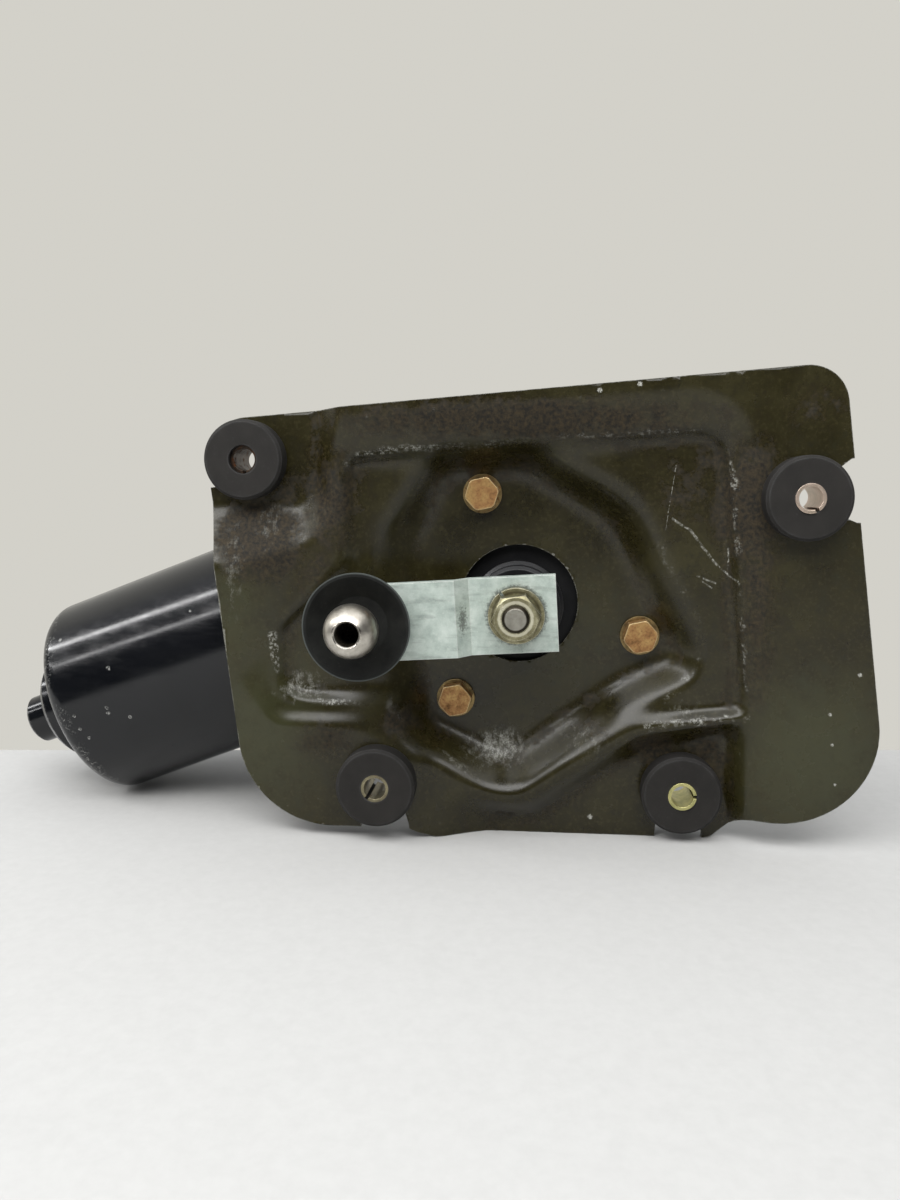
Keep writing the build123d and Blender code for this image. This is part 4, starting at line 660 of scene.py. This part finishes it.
def bracket_paint(name):
    """Old olive-black paint: rusty grime in its grooves, chips on its ridges, scratches, and pale
    patches, partly worn and partly a painted sheen.
    """
    material, graph = fresh_material(name)
    shader = graph.principled(roughness=0.3, specular=0.38)
    cloud = graph.noise(24, detail=7, roughness=0.62)
    mottle = graph.noise(5, detail=6, roughness=0.7)
    fine = graph.noise(1.2, detail=5, roughness=0.65)
    speck = graph.noise(0.55, detail=3)
    tone = graph.ramp(cloud, [(0.3, (0.011, 0.0088, 0.0022)), (0.7, (0.030, 0.026, 0.0085))])
    tone = graph.mix(graph.span(fine, 0.5, 0.72, 0.0, 0.6), tone, (0.048, 0.041, 0.017))
    blotch = graph.math("MULTIPLY", graph.span(mottle, 0.50, 0.62, 0.0, 0.75),
                        graph.span(fine, 0.40, 0.56))
    tone = graph.mix(blotch, tone, (0.008, 0.0062, 0.0025))
    ragged = graph.swing(mottle, 1.6)
    green = graph.span(graph.math("ADD", graph.attribute("green"), ragged), 0.1, 0.9, 0.0, 0.65)
    tone = graph.mix(green, tone, (0.045, 0.047, 0.021))
    hollow = graph.span(graph.attribute("relief"), 0.15, 0.9, 0.0, 0.4)
    grime = graph.math("MAXIMUM", graph.attribute("grime"), hollow)
    grime = graph.math("MULTIPLY", graph.span(graph.math("ADD", grime, ragged), 0.15, 0.75),
                       graph.span(grime, 0.0, 0.3))
    rust = graph.ramp(fine, [(0.38, (0.005, 0.0038, 0.0012)), (0.66, (0.036, 0.0245, 0.0095))])
    tone = graph.mix(grime, tone, rust)
    dust = graph.span(graph.noise(0.9, 5, 0.8), 0.66, 0.76, 0.0, 0.35)
    tone = graph.mix(dust, tone, (0.12, 0.115, 0.095))

    crest = graph.span(graph.attribute("thin_relief"), -0.08, -0.24)
    worn = graph.math("ADD", graph.attribute("worn"),
                      graph.swing(graph.noise(7, 4, 0.6), 3.0, 0.58))
    flakes = graph.math("MULTIPLY", graph.math("MULTIPLY", crest, graph.span(worn, 0.3, 0.8)),
                        graph.span(graph.noise(1.3, 6, 0.75), 0.50, 0.57, 0.0, 0.8))
    cut_edge = graph.math("MULTIPLY", graph.edge_mask(0.5), graph.span(mottle, 0.42, 0.52))
    chips = highest(graph, [graph.blob(x, z, reach, 0.3, 0.9) for x, z, reach in CHIPS])
    lines = highest(graph, [graph.scratch(*scratch) for scratch in SCRATCHES])
    lines = graph.math("MULTIPLY", lines, graph.span(fine, 0.42, 0.56, 0.15, 0.75))
    # Pale places, partly worn paint and partly a painted sheen, streaked upright.
    upright = graph.noise(2.2, detail=6, roughness=0.75, at=graph.stretched((1.25, 1.0, 0.7)))
    wear_and_sheen = graph.attribute("wear_and_sheen")
    wear_and_sheen = graph.math("MULTIPLY", graph.span(wear_and_sheen, 0.0, 1.0), graph.span(
        graph.math("ADD", upright, graph.math("MULTIPLY", wear_and_sheen, 0.2)), 0.60, 0.82, 0.0, 0.8))
    # Pale paint and metal of the flakes, chips, scratches and cut edges, with the painted sheen
    # of the pale places.
    bare_and_sheen = highest(graph, [flakes, chips, lines, wear_and_sheen,
                           graph.math("MULTIPLY", cut_edge, 0.7)])
    tone = graph.mix(bare_and_sheen, tone, graph.ramp(speck, [(0.4, (0.16, 0.155, 0.13)),
                                                   (0.6, (0.42, 0.42, 0.38))]))
    gloss = graph.span(cloud, 0.3, 0.7, 0.19, 0.31)
    rough = graph.math("MAXIMUM", gloss, graph.math("MULTIPLY", grime, 0.75))
    graph.link(graph.math("MAXIMUM", rough, graph.math("MULTIPLY", bare_and_sheen, 0.6)),
               shader.inputs["Roughness"])
    surface = graph.math("ADD", graph.math("MULTIPLY", grime, fine),
                         graph.math("MULTIPLY", speck, 0.35))
    surface = graph.math("SUBTRACT", surface, graph.math("MULTIPLY", bare_and_sheen, 0.6))
    graph.complete(shader, tone, surface, 0.35, 0.12, 0.35)
    return material


def dress(material, *nodes):
    """Give CAD nodes a material in place of their plain one."""
    for name in nodes:
        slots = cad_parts[name].data.materials
        if slots:
            slots[0] = material
        else:
            slots.append(material)


# --- pressed bracket --------------------------------------------------------------------

MAP_STEP = 0.5              # of the depth maps
CUT_STEP = 1.5              # of the sheet's mesh
CUT_MARGIN = 0.01           # within which a cut takes a corner as its own
WELD_REACH = 0.002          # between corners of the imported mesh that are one
RAY_MARGIN = 5              # from where the rays start to the sheet's box
SEAT_MIDDLE = (-4.0, -4.0)
SEAT_REACH = (58.0, 66.0)   # of the ellipse in which the press rounds the sheet the most
SEAT_EDGE = 1.12            # in reaches, where that ends
SEAT_FADE = 0.24            # in reaches, over which it fades there
SEAT_SOFTNESS = 2.4
PANEL_SOFTNESS = 1.1
SIDE_SOFTNESS = 0.3         # of the depths that tell the front's corners from the back's
BLUR_REACH = 3              # of a blur, in its softness
# Blurs of the depth that ridges and grooves are told from: name and softness
RELIEFS = [("relief", 4.5), ("thin_relief", 2.6)]

# Stains of the sheet: x and z of the middle, reach, height over width, strength.
# They are grime, greener patches, and pale places that are partly worn paint and partly a painted
# sheen.
STAIN_EDGE = 1.25           # in reaches, where a stain ends
GRIME = [
    (71, 33, 13, 1.7, 1.0), (61, 46, 9, 0.6, 0.6), (45, -46, 10, 0.8, 0.9),
    (-62, -44, 14, 0.6, 0.6), (-38, -38, 9, 0.8, 0.7), (-60, 34, 13, 1.6, 0.7),
    (0, 59, 70, 0.11, 0.9), (74, 10, 8, 6.5, 0.6), (24, -40, 9, 0.5, 0.5),
    (-76, 30, 10, 1.6, 0.6), (-66, 12, 9, 1.5, 0.5), (62, -50, 10, 1.8, 0.7),
    (-6, 45, 20, 0.3, 0.5), (52, 36, 16, 1.0, 0.45), (88, 62, 16, 0.6, 0.4),
    (-84, 22, 17, 0.9, 1.3),
]
# Greener, paler patches of the colour, strongest at the lower corners.
GREEN = [
    (92, -45, 26, 1.1, 0.9), (-84, -40, 24, 1.3, 0.8), (95, 30, 18, 2.0, 0.15),
    (-92, 0, 14, 2.4, 0.6), (10, -8, 30, 0.8, 0.35),
]
# Pale places: partly worn paint, partly a painted sheen on walls and bends that catch the lamps
# above.
WEAR_AND_SHEEN = [
    (-92, 12, 4, 4.5, 0.6), (-81, 27, 5, 2.4, 0.55), (-6, -48, 12, 0.6, 1.2),
    (-71, -27, 10, 0.6, 0.9), (52, -33, 9, 0.5, 0.45), (22, -43, 10, 0.7, 0.55),
]
# Ridges that the paint has flaked off: lines of places (x, z) with a strength
WORN = [
    ([(-54, 46), (-50, 48.5), (-24.6, 50.6), (26, 54.1), (54.9, 54.9), (62, 50.5)], 0.9),
    ([(62, 50.5), (65, 42), (68.7, 3.5), (70.8, -21), (72, -33)], 0.7),
    ([(-80, -10), (-77.9, -20.4), (-74, -26.3), (-61.7, -31.1), (-43.4, -31.7)], 1.6),
    ([(-43.4, -31.7), (-32.2, -40.8), (-14.8, -54.8), (-3, -59), (7.7, -53.2)], 1.1),
    ([(7.7, -53.2), (19.5, -45.8), (48.3, -28.7), (57, -20.1), (58.5, -9.8)], 0.6),
    ([(30.4, 37.6), (44.2, 19.4), (56.3, -2)], 0.5), ([(42, -37.5), (73, -33.8)], 0.8),
    ([(-50.4, 60.2), (24.1, 67.2), (52.7, 67.8)], 0.45), ([(-75, 12), (-97, 6)], 0.5),
]
WORN_REACH = 1.6
WORN_EDGE = 1.5             # in reaches, where the wear beside a line ends
# Scratches: from, to (x, z) and the width to each side
SCRATCHES = [
    ((47.8, 28.6), (53.4, 24.9), 0.45), ((53.4, 24.9), (58.2, 18.7), 0.5),
    ((58.2, 18.7), (62.8, 13.2), 0.5), ((62.8, 13.2), (68.1, 9.0), 0.35),
    ((65.2, 19.5), (65.4, 12.6), 0.3), ((48.6, 45.0), (46.0, 24.8), 0.12),
    ((56.0, 10.6), (62.0, 8.2), 0.35), ((57.4, 9.0), (60.8, 6.6), 0.3),
]
# Chips: x, z and reach
CHIPS = [(105.1, -19.0, 0.7), (96.8, -31.7, 0.6), (97.9, -41.3, 0.5), (99.4, -54.0, 0.5),
         (24.4, -70.6, 0.9), (24.4, 67.5, 0.8), (36.3, 69.2, 0.8)]


def stain(spots, x, z):
    """Strength of soft oval stains at each place of the sheet."""
    strength = np.zeros_like(x)
    for x0, z0, reach, tall, most in spots:
        far = np.hypot((x - x0) / reach, (z - z0) / (reach * tall))
        strength = np.maximum(strength, most * np.clip(STAIN_EDGE - far, 0, 1))
    return strength


def near_lines(lines, x, z):
    """Strength that falls off beside lines of places."""
    strength = np.zeros_like(x)
    for places, most in lines:
        for (xa, za), (xb, zb) in zip(places, places[1:]):
            length = hypot(xb - xa, zb - za)
            along = ((x - xa) * (xb - xa) + (z - za) * (zb - za)) / length ** 2
            along = np.clip(along, 0, 1)
            far = np.hypot(x - xa - along * (xb - xa), z - za - along * (zb - za))
            strength = np.maximum(strength, most * np.clip(WORN_EDGE - far / WORN_REACH, 0, 1))
    return strength


def give_values(mesh, name, values):
    """Store one number for each corner of a mesh, for its material to read."""
    layer = mesh.attributes.new(name, "FLOAT", "POINT")
    layer.data.foreach_set("value", values.astype(np.float32))


class DepthMap:
    """Depth of one face of the bracket over the plane of its flange, in millimetres."""

    def __init__(self, low, high):
        self.low = low
        self.xs = np.arange(low[0], high[0] + MAP_STEP, MAP_STEP)
        self.zs = np.arange(low[2], high[2] + MAP_STEP, MAP_STEP)
        self.depth = np.zeros((len(self.xs), len(self.zs)))
        self.sheet = np.zeros_like(self.depth)

    def read(self, tree, start, heading):
        """Look along the depth from the front or the back and keep what is met first."""
        ahead = Vector((0, heading, 0))
        for i, x in enumerate(self.xs):
            for k, z in enumerate(self.zs):
                hit = tree.ray_cast(Vector((x, start, z)) * MM, ahead)[0]
                if hit is not None:
                    self.depth[i, k] = hit.y / MM
                    self.sheet[i, k] = 1.0

    def blurred(self, softness):
        """The depth smoothed within the sheet's outline."""
        total, weight = self.depth * self.sheet, self.sheet
        reach = ceil(BLUR_REACH * softness / MAP_STEP)
        taps = np.exp(-0.5 * (np.arange(-reach, reach + 1) * MAP_STEP / softness) ** 2)
        for axis in (0, 1):
            total, weight = (np.apply_along_axis(np.convolve, axis, values, taps, "same")
                             for values in (total, weight))
        return total / np.maximum(weight, 1e-9)

    def pressed(self):
        """The depth with the soft corners of pressed sheet: softest round the seat."""
        across = np.hypot((self.xs[:, None] - SEAT_MIDDLE[0]) / SEAT_REACH[0],
                          (self.zs[None, :] - SEAT_MIDDLE[1]) / SEAT_REACH[1])
        in_seat = np.clip((SEAT_EDGE - across) / SEAT_FADE, 0, 1)
        soft, crisp = self.blurred(SEAT_SOFTNESS), self.blurred(PANEL_SOFTNESS)
        return soft * in_seat + crisp * (1 - in_seat)

    def at(self, values, x, z):
        """Value between the map's points."""
        i = np.clip((x - self.low[0]) / MAP_STEP, 0, len(self.xs) - 1.001)
        k = np.clip((z - self.low[2]) / MAP_STEP, 0, len(self.zs) - 1.001)
        i0, k0 = i.astype(int), k.astype(int)
        i1, k1, u, v = i0 + 1, k0 + 1, i - i0, k - k0
        return ((values[i0, k0] * (1 - u) + values[i1, k0] * u) * (1 - v)
                + (values[i0, k1] * (1 - u) + values[i1, k1] * u) * v)


def cut_into_cells(bm, low, high):
    """Cut the sheet along x and z, so that its mesh can follow soft corners."""
    for axis in (0, 2):
        normal = Vector((axis == 0, 0, axis == 2))
        for place in np.arange(low[axis] + CUT_STEP / 2, high[axis], CUT_STEP):
            bmesh.ops.bisect_plane(
                bm, geom=bm.verts[:] + bm.edges[:] + bm.faces[:], dist=CUT_MARGIN * MM,
                plane_co=normal * place * MM, plane_no=normal)


def pressed_bracket():
    """The bracket as pressed sheet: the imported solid's outline, with its corners softened."""
    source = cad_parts["mounting_bracket"]
    low, high = (np.array(c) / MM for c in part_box("mounting_bracket"))
    bm = bmesh.new()
    bm.from_mesh(source.data)
    bmesh.ops.remove_doubles(bm, verts=bm.verts, dist=WELD_REACH * MM)
    tree = BVHTree.FromBMesh(bm)
    front, back = DepthMap(low, high), DepthMap(low, high)
    front.read(tree, low[1] - RAY_MARGIN, 1)
    back.read(tree, high[1] + RAY_MARGIN, -1)
    cut_into_cells(bm, low, high)

    places = np.array([v.co for v in bm.verts]) / MM
    x, y, z = places.T
    to_front = np.abs(y - front.at(front.blurred(SIDE_SOFTNESS), x, z))
    to_back = np.abs(y - back.at(back.blurred(SIDE_SOFTNESS), x, z))
    on_front = to_front < to_back
    shapes = {True: (front, front.pressed()), False: (back, back.pressed())}
    depth = np.where(on_front, *(m.at(p, x, z) for m, p in shapes.values()))
    for vert, new_depth in zip(bm.verts, depth):
        vert.co.y = new_depth * MM

    mesh = bpy.data.meshes.new("bracket_sheet")
    bm.to_mesh(mesh)
    bm.free()
    add_sheet_normals(mesh, on_front, shapes)
    for name, reach in RELIEFS:
        give_values(mesh, name, front.at(front.pressed() - front.blurred(reach), x, z))
    for name, spots in (("grime", GRIME), ("green", GREEN), ("wear_and_sheen", WEAR_AND_SHEEN)):
        give_values(mesh, name, stain(spots, x, z))
    give_values(mesh, "worn", near_lines(WORN, x, z))
    sheet = bpy.data.objects.new("bracket_sheet", mesh)
    bpy.context.collection.objects.link(sheet)
    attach(sheet, "housing")
    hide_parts("mounting_bracket")
    return sheet


def add_sheet_normals(mesh, on_front, shapes):
    """Normals of the smooth depth on both faces of the sheet, and flat ones on its cut edges."""
    places = np.array([v.co for v in mesh.vertices]) / MM
    slopes = {side: [m.at(slope, places[:, 0], places[:, 2])
                     for slope in np.gradient(pressed, MAP_STEP)]
              for side, (m, pressed) in shapes.items()}
    normals = []
    for face in mesh.polygons:
        sides = {bool(on_front[v]) for v in face.vertices}
        for v in face.vertices:
            if len(sides) == 2:
                normals.append(face.normal)
                continue
            side = bool(on_front[v])
            dx, dz = slopes[side][0][v], slopes[side][1][v]
            outward = Vector((dx, -1, dz)) if side else Vector((-dx, 1, -dz))
            normals.append(outward.normalized())
        face.use_smooth = True
    mesh.normals_split_custom_set(normals)


# --- CAD nodes --------------------------------------------------------------------------


def dress_nodes():
    """Every node but the bracket keeps its CAD shape and gets its material."""
    dress(rubber("grommet_rubber"), "grommet_top_left", "grommet_right",
          "grommet_bottom_left", "grommet_bottom_right")
    dress(zinc("zinc_yellow", (0.66, 0.60, 0.27), (0.36, 0.36, 0.15)), "sleeve_bottom_right")
    dress(zinc("zinc_dull", (0.30, 0.27, 0.17), (0.14, 0.12, 0.08), rust=0.2),
          "sleeve_bottom_left")
    dress(zinc("zinc_pink", (0.68, 0.54, 0.45), (0.47, 0.39, 0.30)), "sleeve_right")
    dress(zinc("zinc_rusted", (0.10, 0.075, 0.055), (0.04, 0.03, 0.025), rust=0.5),
          "sleeve_top_left")
    dress(bolt_zinc("bolt_zinc"), "housing_bolts")
    dress(zinc("washer_zinc", (0.34, 0.25, 0.11), (0.10, 0.07, 0.035), rust=0.35),
          "bolt_washers")
    dress(zinc("screw_zinc", (0.50, 0.48, 0.42), (0.33, 0.31, 0.26)), "can_screws",
          "cover_screws", "thrust_screw", "thrust_lock_nut")
    dress(nut_zinc("nut_zinc"), "crank_nut", "spring_washer")
    dress(casting("die_cast"), "gear_housing")
    dress(black_plastic("seal_rubber", (0.010, 0.010, 0.011), 0.28), "shaft_seal")
    dress(black_plastic("gasket_rubber"), "can_seal", "cover_gasket", "connector_socket")
    dress(cup_plastic("cup_plastic"), "dust_cup")
    dress(can_paint("can_paint"), "motor_can")
    dress(can_paint("cover_paint"), "gear_cover")
    dress(arm_zinc("arm_zinc"), "crank_arm")
    dress(ball_nickel("ball_nickel"), "ball_stud")
    dress(shaft_end("shaft_steel"), "output_shaft")
    dress(bare_metal("ground_steel", (0.56, 0.55, 0.54), 0.3), "armature_shaft", "thrust_ball",
          "shaft_circlips", "thrust_washer", "front_washer", "bush_retainer", "magnet_clips")
    dress(bare_metal("sintered_bronze", (0.55, 0.38, 0.2), 0.5), "output_bush_front",
          "output_bush_rear", "armature_bush_rear", "armature_bush_front",
          "armature_bush_thrust")
    dress(bare_metal("brass", (0.74, 0.57, 0.28), 0.32), "park_ring", "park_contacts",
          "terminal_blades", "brush_boxes")
    dress(bare_metal("copper", (0.62, 0.30, 0.16), 0.35), "commutator", "armature_windings")
    dress(bare_metal("core_steel", (0.26, 0.26, 0.27), 0.5, 0.8), "lamination_stack")
    dress(black_plastic("ferrite", (0.05, 0.05, 0.053), 0.7), "field_magnets", "brushes")
    dress(black_plastic("phenolic", (0.20, 0.10, 0.045), 0.6), "commutator_hub",
          "brush_plate", "contact_plate")
    dress(nylon("nylon"), "worm_wheel")


bpy.context.scene.view_settings.view_transform = "Standard"
dress_nodes()
pressed_bracket().data.materials.append(bracket_paint("bracket_paint"))
add_setting()
add_world()
add_light()
add_camera()
